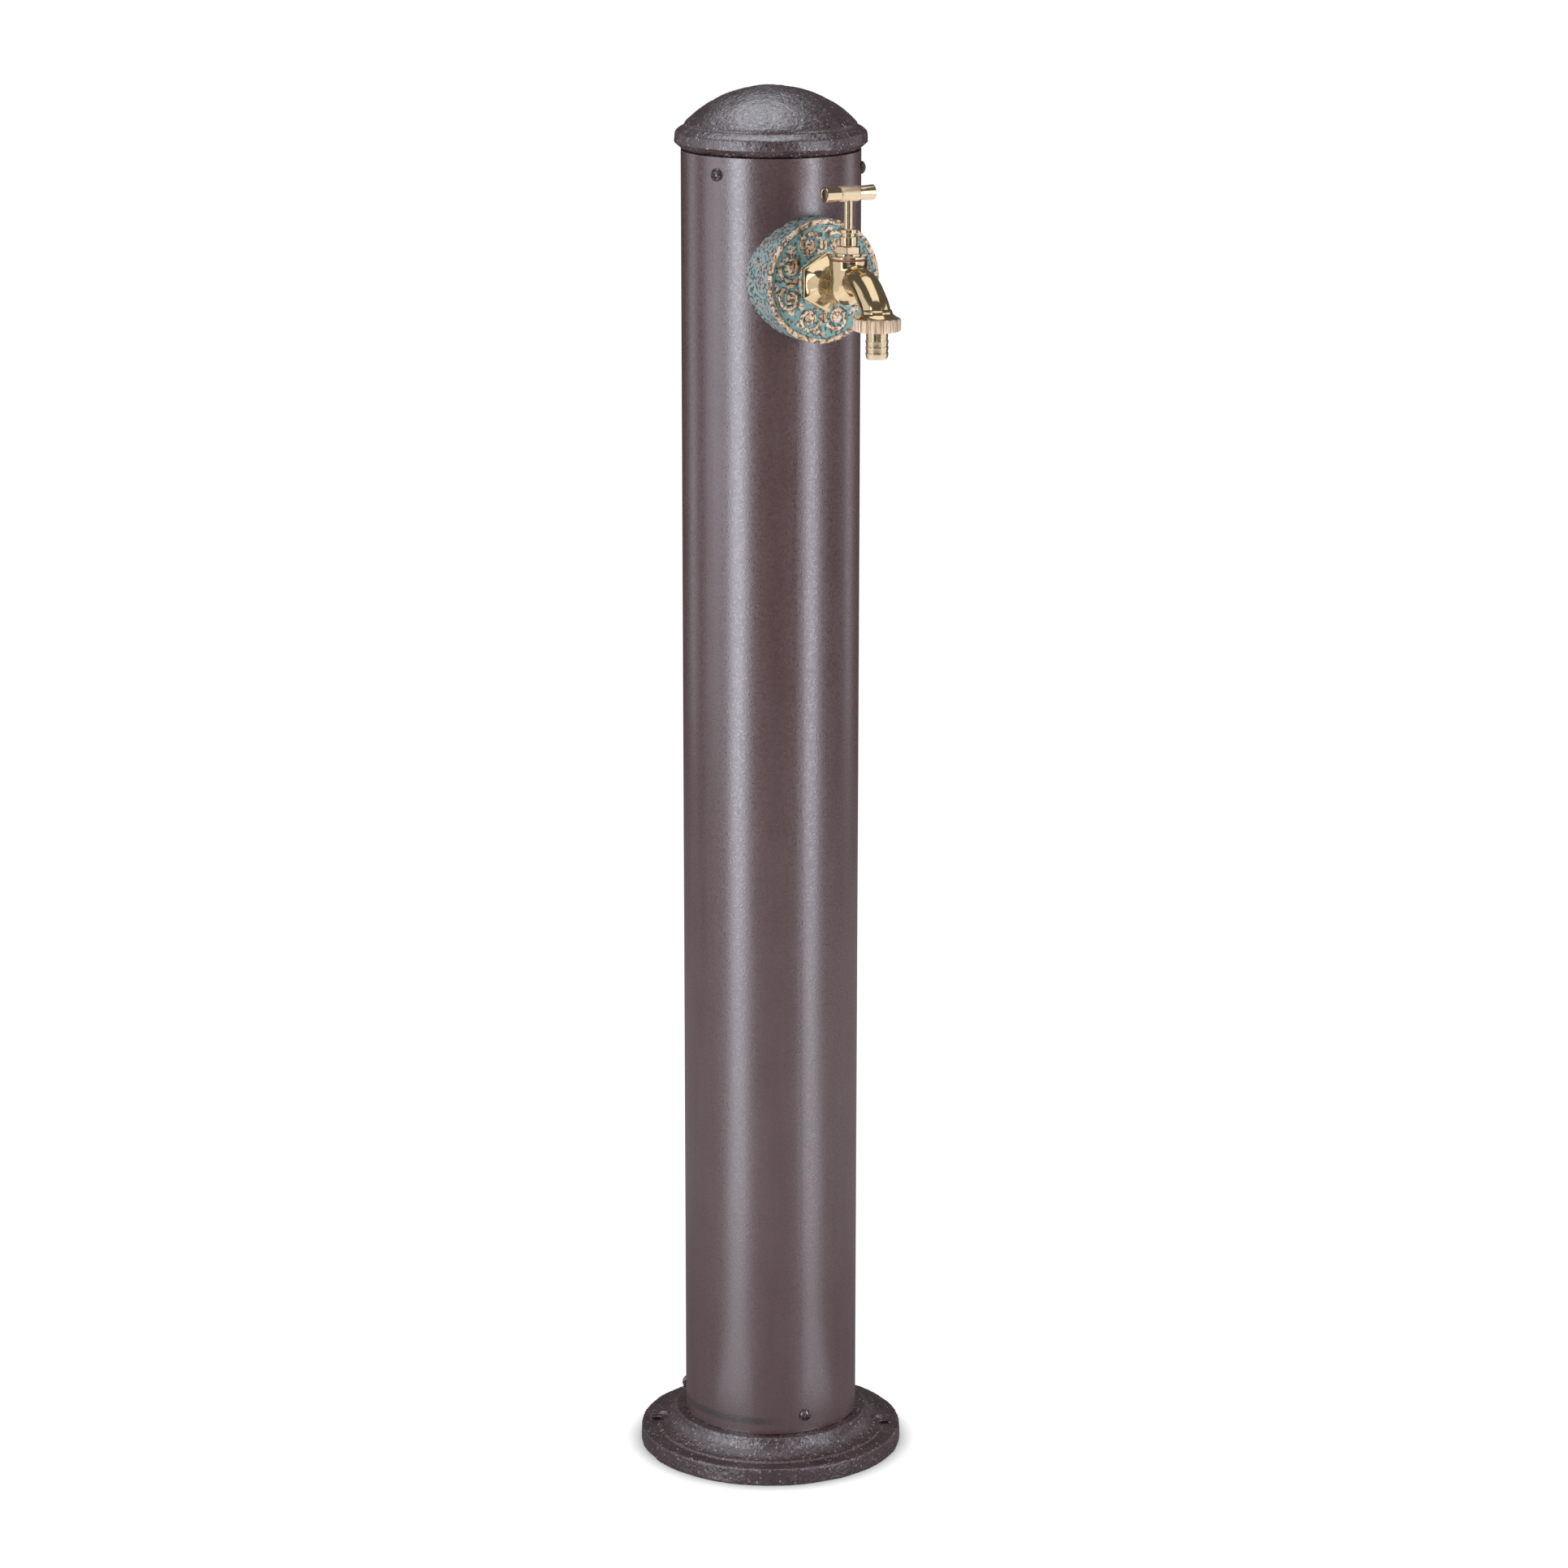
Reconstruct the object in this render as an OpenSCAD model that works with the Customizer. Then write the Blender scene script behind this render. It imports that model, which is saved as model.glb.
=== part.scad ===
// Garden standpipe: a steel column between a cast foot and a cast cap, with a bib tap
// on a round ornamental rosette. The origin is at the centre of the foot's underside,
// Z is up, and the tap points along -Y. Threads are drawn as plain cylinders.

/* [Column] */
// Height of the whole standpipe, from the ground to the top of the dome
overall_h = 910; // [800:5:1100]
// Outside diameter of the column tube
column_d = 114.3; // [106:0.1:122]
// Wall of the column tube
column_wall = 3; // [2:0.5:4]
// Radial play of the castings inside the tube
spigot_play = 0.3; // [0.1:0.1:0.6]
// Wall of the spigots that the castings have inside the tube
spigot_wall = 4.3; // [3.5:0.1:5]
// Distance from the top of the dome down to the axis of the tap
tap_drop = 115; // [110:1:140]

/* [Foot casting] */
// Diameter of the foot
foot_d = 175; // [168:1:200]
// Thickness of the foot's flat rim
foot_t = 11.3; // [9:0.1:14]
// Width of the flat rim outside the moulding
rim_w = 11.2; // [7:0.1:12.5]
// Height of the moulding above the flat rim
moulding_h = 12.7; // [11:0.1:16]
// Width of the flat ledge round the column
ledge_w = 6.3; // [5:0.1:7.5]
// Length of the foot's spigot inside the column
foot_spigot_h = 24; // [22:1:34]
// Height of the web's underside above the ground
web_z = 28; // [25:1:30]
// Thickness of the web that holds the supply connector
web_t = 7; // [5:0.5:8]
// Radius of the two bolt holes in the rim
bolt_r = 3.3; // [2.5:0.1:4.5]
// Distance of the bolt holes from the foot's edge
bolt_inset = 11; // [10:0.5:13]

/* [Cap casting] */
// Rise of the dome above its own foot
dome_rise = 25; // [20:0.5:30]
// Overhang of the rim past the column
rim_overhang = 4.1; // [2:0.1:6]
// Height of the rim's sloping underside
rim_chamfer_h = 4.9; // [4:0.1:8]
// Height of the rim's upright face
rim_face_h = 7.1; // [4:0.1:8]
// Wall of the dome
cap_wall = 5; // [3:0.5:6]
// Length of the cap's spigot inside the column
cap_spigot_h = 20; // [18:1:28]

/* [Screws] */
// Number of screws in each casting
screw_count = 3; // [2:1:4]
// Radius of the screw threads
screw_r = 2; // [1.5:0.1:2.5]
// Length of the screws under the head
screw_l = 11; // [10:0.5:14]
// Height of the lower screws above the foot's ledge
base_screw_rise = 12; // [9:0.5:14]
// Distance of the upper screws below the end of the tube
cap_screw_drop = 11; // [8:0.5:12]

/* [Rosette] */
// Diameter of the rosette
rosette_d = 78.5; // [70:0.5:84]
// Distance of the rosette's face from the column's surface
rosette_proud = 15.4; // [14:0.1:20]
// Width of the raised rim bead
bead_w = 3.6; // [3:0.1:4.3]
// Depth of the field behind the bead's crest
field_depth = 2; // [1.5:0.1:2.5]
// Number of scrolls, an even number
scroll_count = 8; // [6:2:8]
// Outer radius of one scroll
scroll_r = 7.2; // [6:0.1:7.5]

/* [Tap] */
// Size across the flats of the wall flange
flange_af = 31.5; // [30:0.5:34]
// Thickness of the wall flange
flange_t = 3; // [2:0.1:4]
// Radius of the neck between flange and bowl
neck_r = 9.5; // [9:0.1:10.5]
// Distance from the rosette's face to the spindle's axis
spindle_reach = 31.4; // [29:0.1:36]
// Radius of the bowl
bowl_r = 10.8; // [10.4:0.1:11.2]
// Height of the cup's mouth above the tap's axis
cup_h = 17.8; // [17.5:0.1:20]
// Distance from the spindle's axis to the outlet's axis
spout_reach = 37.5; // [36:0.5:46]
// Outside radius of the spout
spout_r = 9; // [8.6:0.1:9.4]
// Depth of the outlet thread's top below the spout's crown line
spout_drop = 19.2; // [18.5:0.1:24]

/* [Headwork] */
// Size across the flats of the bonnet's hexagon
bonnet_af = 14; // [13.5:0.5:16]
// Radius of the spindle's stem
stem_r = 2.9; // [2.5:0.1:3.1]
// Travel of the valve from shut to fully open
valve_lift = 5; // [3:0.5:5]
// Length of stem that shows between gland nut and handle when shut
stem_show = 16.5; // [12:0.5:24]

/* [Tee handle] */
// Length of the tee bar
tee_l = 34; // [28:1:50]
// Radius of the bar at its ends
tee_end_r = 4.9; // [4.5:0.1:6]
// Radius of the bar beside the hub
tee_waist_r = 4.2; // [3.8:0.1:4.4]
// Radius of the hub
hub_r = 4.9; // [4.6:0.1:6]
// Length of the hub
hub_l = 12.5; // [10:0.5:16]

/* [Hose union] */
// Outside radius of the union nut
union_r = 14.7; // [14.5:0.1:16]
// Height of the union nut
union_h = 7.5; // [7.2:0.1:12]
// Number of knurl teeth
knurl_count = 60; // [36:2:80]
// Radius of the hose tail over its ridges
tail_r = 7.1; // [6.5:0.1:7.5]
// Number of ridges
ridge_count = 3; // [2:1:4]
// Pitch of the ridges
ridge_pitch = 3.8; // [3:0.1:5]
// Radius of the hose tail's bore
tail_bore_r = 4.8; // [4:0.1:5]

/* [Supply] */
// Outside radius of the riser pipe
riser_r = 10.65; // [10.6:0.05:11.5]
// Wall of the riser pipe
riser_wall = 2.65; // [2:0.05:2.8]
// Outside radius of the elbow's legs
elbow_r = 13.8; // [13.2:0.1:14.4]
// Length of the elbow's legs from its corner
elbow_leg = 28; // [26:0.5:30]

/* [Hidden] */
$fn = 96;

// Play of a thread drawn as a plain cylinder, and of a piece in its seat
thread_play = 0.05;
seat_play = 0.05;
// Overrun of every cut past the surface that it leaves
over = 1;
// Thread radii: half inch pipe thread and three quarter inch pipe thread
half_r = 10.48;
three_quarter_r = 13.2;
half_hole_r = half_r + thread_play;
// Wall left between the half inch threads and a water passage
nipple_bore_r = 7.5;

// Column
column_r = column_d / 2;
tube_in_r = column_r - column_wall;
spigot_r = tube_in_r - spigot_play;
spigot_in_r = spigot_r - spigot_wall;
foot_r = foot_d / 2;
ledge_z = foot_t + moulding_h;
rim_slope_h = 3;
cap_h = rim_chamfer_h + rim_face_h + rim_slope_h + dome_rise;
column_top = overall_h - cap_h;
tap_h = overall_h - tap_drop;
// The screw rings stand a little off the tap's direction, as they were drilled by hand
screw_offset = -3.5;
cap_screw_turn = screw_offset - 180 / screw_count;
base_screw_z = ledge_z + base_screw_rise;
cap_screw_z = column_top - cap_screw_drop;
screw_hole_play = 0.25;
// Bosses inside the spigots, round the screw threads
boss_r = 5;
boss_reach = 4;
boss_in_r = spigot_in_r - boss_reach;

// Foot casting
foot_draft = 0.5;
foot_round = 1.4;
step_h = 1.2;
step_w = 1.5;
step_round = 0.5;
ledge_round = 1.4;
cove_sag = 2.4;
moulding_r = foot_r - rim_w;
ledge_r = column_r + ledge_w;
bolt_circle_r = foot_r - bolt_inset;
bolt_turn = 60;
bolt_count = 2;
spot_face_r = 8.5;
spot_face_depth = 0.3;
core_wall = 5;
core_roof = 2.5;
web_arm_w = 18;
web_arm_count = 3;
hub_wall = 7;
web_hole_r = three_quarter_r + screw_hole_play;

// Supply connector, its hexagon under the web and its nut on it
connector_hex_af = 30;
connector_hex_h = 9;
connector_z = web_z - connector_hex_h;
connector_bore_l = 12;
connector_nut_h = 7;
connector_nut_af = 32;
connector_end = 5;
connector_top = web_z + web_t + connector_nut_h + connector_end;
connector_waist = 2.5;
riser_foot_z = connector_z + connector_bore_l + connector_waist;
riser_bore_r = riser_r - riser_wall;
thread_end = 0.2;
elbow_bore_l = 14;
elbow_bead_proud = 1.4;
elbow_bead_r = elbow_r + elbow_bead_proud;
elbow_bead_w = 5;
elbow_mouth_z = tap_h - elbow_leg;

// Cap casting
rim_r = column_r + rim_overhang;
rim_round = 2;
dome_inset = 1.6;
dome_foot_r = column_r - dome_inset;
dome_r = (dome_foot_r * dome_foot_r + dome_rise * dome_rise) / (2 * dome_rise);
dome_centre_z = overall_h - dome_r;
rim_low_z = column_top + rim_chamfer_h;
rim_top_z = rim_low_z + rim_face_h;

// Screws
screw_head_r = 2 * screw_r;
screw_head_edge = 1;
screw_head_h = 2.9;
screw_head_sag = 0.5;
cross_w = 0.9;
cross_depth = 1.6;
cross_l_share = 1.25;

// Rosette
rosette_r = rosette_d / 2;
face_u = column_r + rosette_proud;
field_u = face_u - field_depth;
rosette_shoulder = 3;
nipple_hole_r = 11;
socket_r = 13.5;
socket_play = 0.1;
rosette_bore_r = socket_r + socket_play;
rosette_wall = 4.5;
rosette_face_t = 4.5;
rosette_hub_r = 18;
scroll_orbit_share = 0.64;
scroll_turns = 1.5;
scroll_band = 1.8;
scroll_eye_r = 2;
scroll_steps = 40;
scroll_sink = 0.4;
scroll_relief = field_depth - scroll_sink;
boss_bead_r = 1.6;
boss_bead_orbit_share = 0.845;
knob_r = 2.1;
knob_orbit_share = 0.69;
field_ring_r = 20;
field_ring_w = 1.4;

// Nipple through the wall
tail_thread_l = 10;
socket_recess = 0.4;
socket_floor = 0.7;
shoulder_u = column_r + rosette_shoulder;
socket_u = face_u - socket_recess;
nipple_end_u = elbow_leg - elbow_bore_l + thread_end;
saddle_t = 4.6;
saddle_u = tube_in_r - saddle_t;
saddle_r = 17;
lock_nut_af = 27;
lock_nut_h = 6;

// Tap body
spindle_u = face_u + spindle_reach;
outlet_u = spindle_u + spout_reach;
flare_l = 12;
flare_edge = 0.4;
flare_sag = 2.2;
flare_r = flange_af / 2 - flare_edge;
cup_edge_r = 11.9;
bowl_lift = 0.5;
bowl_z = tap_h + bowl_lift;
cup_z = tap_h + cup_h;
spout_lift = 5.6;
spout_z = tap_h + spout_lift;
bend_a = 45;
bend_r = 20;
end_bend_r = 16;
spout_bore_r = 6.2;
// Overlap of a bend with the straight pieces at its ends
bend_lap = 0.05;
outlet_z = spout_z - spout_drop;
collar_h = 4.5;
collar_sag = 1.1;
outlet_bore_r = 8;
inlet_r = 4.8;
inlet_sink = 3;
chamber_r = 9;
chamber_low_r = 5.3;
seat_rise = 5;
seat_z = tap_h + seat_rise;
seat_t = 3;
seat_r = 5;
seat_lip = 1;
seat_lip_w = 1.2;

// Headwork
washer_t = 1.1;
washer_r = 12;
bonnet_flange_r = 11.8;
bonnet_flange_t = 1.5;
bonnet_collar_r = 8.2;
bonnet_collar_h = 1.5;
bonnet_hex_h = 4.4;
bonnet_hex_turn = -35.4;
barrel_r = 5.65;
barrel_h = 5.9;
bonnet_z = cup_z + washer_t;
bonnet_hex_z = bonnet_z + bonnet_flange_t + bonnet_collar_h;
barrel_z = bonnet_hex_z + bonnet_hex_h;
barrel_top = barrel_z + barrel_h;
cup_thread_r = 9.2;
cup_thread_l = 6.3;
skirt_r = 7.6;
skirt_roof = 1.3;
spindle_thread_r = 4.75;
spindle_thread_l = 10;
spindle_room = 0.4;
washer_valve_r = 6.6;
washer_valve_t = 3;
plate_t = 2;
plate_r = 7;
lift_play = 0.1;
plate_top = seat_z + washer_valve_t + plate_t;
spindle_z = plate_top + lift_play;
thread_roof = spindle_z + spindle_thread_l + valve_lift + spindle_room;
packing_wall = 1.2;
packing_floor = thread_roof + packing_wall;
packing_r = 4.5;
packing_h = 2.2;
gland_gap = 2.1;
gland_head_h = 2.6;
gland_r = 5.65;
gland_z = barrel_top + gland_gap;
gland_top = gland_z + gland_head_h;
jumper_r = 2;
jumper_l = 7;
jumper_hole_extra = 1;
valve_nut_af = 5.5;
valve_nut_h = 2.4;
valve_nut_stud = 0.8;

// Tee handle
hub_z = gland_top + stem_show + hub_r;
stem_socket = 3;
tee_recess_r = 1.4;
tee_recess = 0.5;
tee_chamfer = 0.5;

// Hose union
nut_top = outlet_z;
nut_z = nut_top - union_h;
nut_lip = 1.4;
nut_chamfer = 0.7;
knurl_depth = 0.35;
nut_hole_play = 0.2;
tail_flange_t = 1.5;
tail_washer_t = 1.5;
tail_flange_inset = 0.8;
tail_flange_r = three_quarter_r - tail_flange_inset;
tail_flange_z = nut_z + nut_lip + seat_play;
tail_washer_z = tail_flange_z + tail_flange_t;
outlet_end_z = tail_washer_z + tail_washer_t;
ridge_step = 0.35;
tail_land = 6;
tail_round = 0.8;

// The spout's straight stretches, before its first bend and between its two bends
spout_run = (spout_z - outlet_end_z - bend_r * (1 - cos(bend_a))
  - end_bend_r * cos(bend_a)) / sin(bend_a);
spout_start = spout_reach - bend_r * sin(bend_a) - spout_run * cos(bend_a)
  - end_bend_r * (1 - sin(bend_a));

function arc(centre, r, a0, a1, n = 6) =
  [for (i = [0:n]) let (a = a0 + (a1 - a0) * i / n) centre + r * [cos(a), sin(a)]];

// Points from p to q on an arc that bulges by sag to the left of the way from p to q
function sag_arc(p, q, sag, n = 12) =
  let (
    chord = norm(q - p),
    side = [p[1] - q[1], q[0] - p[0]] / chord,
    s = abs(sag),
    r = (chord * chord / 4 + s * s) / (2 * s),
    centre = (p + q) / 2 - side * (r - s) * sign(sag),
    start = atan2(p[1] - centre[1], p[0] - centre[0]),
    turn = -2 * asin(chord / 2 / r) * sign(sag)
  )
  arc(centre, r, start, start + turn, n);

// A band that winds inwards from r0 to r1
function spiral_edge(r0, r1, turns, shift) =
  [for (i = [0:scroll_steps])
    let (a = 360 * turns * i / scroll_steps, r = r0 + (r1 - r0) * i / scroll_steps - shift)
    r * [cos(a), sin(a)]];
function reversed(points) = [for (i = [len(points) - 1:-1:0]) points[i]];

// Local +Z becomes -Y, at the distance u from the column's axis on the tap's axis
module on_tap_axis(u) {
  translate([0, -u, tap_h])
    rotate([90, 0, 0])
      children();
}

// Local origin on the spindle's axis at the height z
module on_spindle(z) {
  translate([0, -spindle_u, z])
    children();
}

// Local origin on the outlet's axis at the height z
module on_outlet(z) {
  translate([0, -outlet_u, z])
    children();
}

// Copies round the column, the first at the angle first from the tap's direction
module around(count, first) {
  for (i = [0:count - 1])
    rotate([0, 0, first + 360 * i / count])
      children();
}

// Local +Z points outwards at the radius r and the height z
module outwards(r, z) {
  translate([0, -r, z])
    rotate([90, 0, 0])
      children();
}

// A hexagonal prism by its size across flats
module hexagon(af, h) {
  cylinder(r = af / 2 / cos(30), h = h, $fn = 6);
}

module ring(outer_r, inner_r, h) {
  difference() {
    cylinder(r = outer_r, h = h);
    translate([0, 0, -over])
      cylinder(r = inner_r, h = h + 2 * over);
  }
}

// Bosses on the inside of a spigot, and the threaded holes in them
module screw_bosses(first, z) {
  around(screw_count, first)
    outwards(boss_in_r, z)
      cylinder(r = boss_r, h = boss_reach + spigot_wall / 2);
}

module screw_holes(first, z, r) {
  around(screw_count, first)
    outwards(boss_in_r - over, z)
      cylinder(r = r, h = column_r - boss_in_r + 2 * over);
}

module foot_section() {
  polygon(concat(
    [[spigot_in_r, 0], [foot_r, 0]],
    arc([foot_r - foot_draft - foot_round, foot_t - foot_round], foot_round, 0, 90),
    [[moulding_r, foot_t]],
    arc([moulding_r - step_round, foot_t + step_h - step_round], step_round, 0, 90, 3),
    sag_arc([moulding_r - step_w, foot_t + step_h],
      [ledge_r + ledge_round / 2, ledge_z - ledge_round], cove_sag),
    arc([ledge_r - ledge_round / 2, ledge_z - ledge_round], ledge_round, 45, 90, 3),
    [[spigot_r, ledge_z], [spigot_r, ledge_z + foot_spigot_h],
      [spigot_in_r, ledge_z + foot_spigot_h]]
  ));
}

// The hollow under the moulding that keeps the casting's wall even
module foot_core() {
  translate([0, 0, -over])
    difference() {
      cylinder(r = bolt_circle_r - spot_face_r, h = foot_t + over - core_roof);
      translate([0, 0, -over])
        cylinder(r = spigot_in_r + core_wall, h = foot_t + moulding_h);
    }
}

module base_flange() color("#5b4a4b") {
  difference() {
    union() {
      difference() {
        rotate_extrude()
          foot_section();
        foot_core();
      }
      screw_bosses(screw_offset, base_screw_z);
      translate([0, 0, web_z]) {
        cylinder(r = web_hole_r + hub_wall, h = web_t);
        around(web_arm_count, bolt_turn)
          translate([-web_arm_w / 2, -spigot_in_r - spigot_wall / 2, 0])
            cube([web_arm_w, spigot_in_r + spigot_wall / 2, web_t]);
      }
    }
    translate([0, 0, web_z - over])
      cylinder(r = web_hole_r, h = web_t + 2 * over);
    screw_holes(screw_offset, base_screw_z, screw_r + thread_play);
    around(bolt_count, bolt_turn)
      translate([0, -bolt_circle_r, 0]) {
        translate([0, 0, -over])
          cylinder(r = bolt_r, h = foot_t + 2 * over);
        translate([0, 0, foot_t - spot_face_depth])
          cylinder(r = spot_face_r, h = spot_face_depth + moulding_h + over);
      }
  }
}

module column_tube() color("#6a5a5d") {
  difference() {
    translate([0, 0, ledge_z])
      ring(column_r, tube_in_r, column_top - ledge_z);
    around(screw_count, screw_offset)
      outwards(tube_in_r - over, base_screw_z)
        cylinder(r = screw_r + screw_hole_play, h = column_wall + 2 * over);
    around(screw_count, cap_screw_turn)
      outwards(tube_in_r - over, cap_screw_z)
        cylinder(r = screw_r + screw_hole_play, h = column_wall + 2 * over);
    on_tap_axis(tube_in_r - column_wall)
      cylinder(r = nipple_hole_r, h = column_r);
  }
}

module cap_rim_section() {
  polygon(concat(
    [[spigot_in_r, column_top], [column_r, column_top], [rim_r, rim_low_z]],
    arc([rim_r - rim_round, rim_top_z - rim_round], rim_round, 0, 70),
    [[dome_foot_r + rim_round / 4, rim_top_z + rim_slope_h - rim_round / 4],
      [dome_foot_r - rim_round / 2, rim_top_z + rim_slope_h],
      [spigot_in_r, rim_top_z + rim_slope_h]]
  ));
}

module cap() color("#5b4a4b") {
  difference() {
    union() {
      intersection() {
        translate([0, 0, dome_centre_z])
          sphere(r = dome_r);
        translate([0, 0, column_top])
          cylinder(r = dome_foot_r, h = cap_h + over);
      }
      rotate_extrude()
        cap_rim_section();
      translate([0, 0, column_top - cap_spigot_h])
        cylinder(r = spigot_r, h = cap_spigot_h);
    }
    difference() {
      intersection() {
        translate([0, 0, dome_centre_z])
          sphere(r = dome_r - cap_wall);
        translate([0, 0, column_top - cap_spigot_h - over])
          cylinder(r = spigot_in_r, h = cap_h + cap_spigot_h);
      }
      screw_bosses(cap_screw_turn, cap_screw_z);
    }
    screw_holes(cap_screw_turn, cap_screw_z, screw_r + thread_play);
  }
}

// One pan head screw with a cross recess, its head standing on the local XY plane
module pan_head_screw() {
  difference() {
    union() {
      rotate_extrude()
        polygon(concat(
          [[0, 0], [screw_head_r, 0]],
          sag_arc([screw_head_r, screw_head_edge], [0, screw_head_h], -screw_head_sag, 8)
        ));
      translate([0, 0, -screw_l])
        cylinder(r = screw_r, h = screw_l);
    }
    for (turn = [0, 90])
      rotate([0, 0, turn + 45])
        translate([-screw_r * cross_l_share, -cross_w / 2, screw_head_h - cross_depth])
          cube([2 * screw_r * cross_l_share, cross_w, cross_depth + over]);
  }
}

module cap_screws() color("#3a3334") {
  around(screw_count, cap_screw_turn)
    outwards(column_r + seat_play, cap_screw_z)
      pan_head_screw();
}

module base_screws() color("#3a3334") {
  around(screw_count, screw_offset)
    outwards(column_r + seat_play, base_screw_z)
      pan_head_screw();
}

// One scroll: a band that winds into an eye, standing on the local XY plane
module scroll() {
  linear_extrude(scroll_relief)
    polygon(concat(
      spiral_edge(scroll_r, scroll_eye_r, scroll_turns, 0),
      reversed(spiral_edge(scroll_r, scroll_eye_r, scroll_turns, scroll_band))
    ));
  cylinder(r = scroll_eye_r, h = scroll_relief);
}

// The raised ornament on the rosette's field, standing on the local XY plane
module rosette_relief() {
  scroll_step = 360 / scroll_count;
  for (i = [0:scroll_count - 1])
    rotate([0, 0, scroll_step * (i + 0.5)])
      translate([rosette_r * scroll_orbit_share, 0, 0])
        mirror([0, i % 2, 0])
          rotate([0, 0, scroll_step])
            scroll();
  for (i = [0:scroll_count - 1])
    rotate([0, 0, scroll_step * i])
      translate([rosette_r * boss_bead_orbit_share, 0, 0])
        sphere(r = boss_bead_r);
  for (i = [0:2:scroll_count - 1])
    rotate([0, 0, scroll_step * (i + scroll_count / 4)])
      translate([rosette_r * knob_orbit_share, 0, 0])
        sphere(r = knob_r);
  ring(field_ring_r + field_ring_w, field_ring_r, scroll_relief);
}

module rosette() color("#5f9c9c") {
  difference() {
    union() {
      on_tap_axis(0)
        cylinder(r = rosette_r, h = field_u);
      on_tap_axis(field_u) {
        rotate_extrude()
          polygon(concat(
            [[rosette_r - bead_w, 0], [rosette_r, 0]],
            sag_arc([rosette_r, field_depth / 2], [rosette_r - bead_w, field_depth / 2],
              -field_depth / 2)
          ));
        rosette_relief();
        cylinder(r = rosette_hub_r, h = field_depth);
      }
    }
    cylinder(r = column_r + seat_play, h = overall_h);
    translate([-rosette_d, 0, tap_h - rosette_d])
      cube([2 * rosette_d, rosette_d, 2 * rosette_d]);
    on_tap_axis(0)
      cylinder(r = nipple_hole_r, h = face_u + over);
    on_tap_axis(shoulder_u)
      cylinder(r = rosette_bore_r, h = face_u);
    on_tap_axis(0)
      ring(rosette_r - rosette_wall, rosette_hub_r, field_u - rosette_face_t);
  }
}

module wall_nipple() color("#c9a35c") {
  difference() {
    union() {
      on_tap_axis(nipple_end_u)
        cylinder(r = half_r, h = shoulder_u - nipple_end_u + over);
      on_tap_axis(shoulder_u)
        cylinder(r = socket_r, h = socket_u - shoulder_u);
    }
    on_tap_axis(nipple_end_u - over)
      cylinder(r = nipple_bore_r, h = socket_u - nipple_end_u);
    on_tap_axis(face_u - tail_thread_l - socket_floor)
      cylinder(r = half_hole_r, h = tail_thread_l + over);
  }
}

module saddle_washer() color("#2c2c2e") {
  difference() {
    intersection() {
      on_tap_axis(saddle_u)
        cylinder(r = saddle_r, h = column_wall + saddle_r);
      translate([0, 0, tap_h - saddle_r])
        cylinder(r = tube_in_r - seat_play, h = 2 * saddle_r);
    }
    on_tap_axis(saddle_u - over)
      cylinder(r = half_hole_r, h = column_r);
  }
}

module lock_nut() color("#c9a35c") {
  on_tap_axis(saddle_u - lock_nut_h)
    difference() {
      hexagon(lock_nut_af, lock_nut_h);
      translate([0, 0, -over])
        cylinder(r = half_hole_r, h = lock_nut_h + 2 * over);
    }
}

module inlet_elbow() color("#b9924e") {
  difference() {
    union() {
      translate([0, 0, tap_h])
        sphere(r = elbow_r);
      on_tap_axis(0)
        cylinder(r = elbow_r, h = elbow_leg);
      on_tap_axis(elbow_leg - elbow_bead_w)
        cylinder(r = elbow_bead_r, h = elbow_bead_w);
      translate([0, 0, elbow_mouth_z]) {
        cylinder(r = elbow_r, h = elbow_leg);
        cylinder(r = elbow_bead_r, h = elbow_bead_w);
      }
    }
    translate([0, 0, tap_h])
      sphere(r = nipple_bore_r);
    on_tap_axis(0)
      cylinder(r = nipple_bore_r, h = elbow_leg);
    translate([0, 0, elbow_mouth_z])
      cylinder(r = nipple_bore_r, h = elbow_leg);
    on_tap_axis(elbow_leg - elbow_bore_l)
      cylinder(r = half_hole_r, h = elbow_bore_l + over);
    translate([0, 0, elbow_mouth_z - over])
      cylinder(r = half_hole_r, h = elbow_bore_l + over);
  }
}

module riser_pipe() color("#9a9c9e") {
  riser_top = elbow_mouth_z + elbow_bore_l - thread_end;
  difference() {
    union() {
      translate([0, 0, riser_foot_z + thread_end])
        cylinder(r = half_r, h = riser_top - riser_foot_z - thread_end);
      translate([0, 0, connector_top + thread_end])
        cylinder(r = riser_r, h = elbow_mouth_z - connector_top - 2 * thread_end);
    }
    translate([0, 0, riser_foot_z - over])
      cylinder(r = riser_bore_r, h = riser_top - riser_foot_z + 2 * over);
  }
}

module inlet_connector() color("#b9924e") {
  difference() {
    union() {
      translate([0, 0, connector_z])
        hexagon(connector_hex_af, connector_hex_h);
      translate([0, 0, connector_z])
        cylinder(r = three_quarter_r, h = connector_top - connector_z);
    }
    translate([0, 0, connector_z - over])
      cylinder(r = half_hole_r, h = connector_bore_l + over);
    translate([0, 0, connector_z])
      cylinder(r = riser_bore_r, h = connector_top - connector_z);
    translate([0, 0, riser_foot_z])
      cylinder(r = half_hole_r, h = connector_top - riser_foot_z + over);
  }
}

module connector_nut() color("#b9924e") {
  translate([0, 0, web_z + web_t])
    difference() {
      hexagon(connector_nut_af, connector_nut_h);
      translate([0, 0, -over])
        cylinder(r = three_quarter_r + thread_play, h = connector_nut_h + 2 * over);
    }
}

// A rod of radius r that bends about the local X axis, between two angles from the top
module bend(centre_r, r, from, to) {
  rotate([0, -90, 180])
    rotate([0, 0, from])
      rotate_extrude(angle = to - from)
        translate([centre_r, 0])
          circle(r = r);
}

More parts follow.
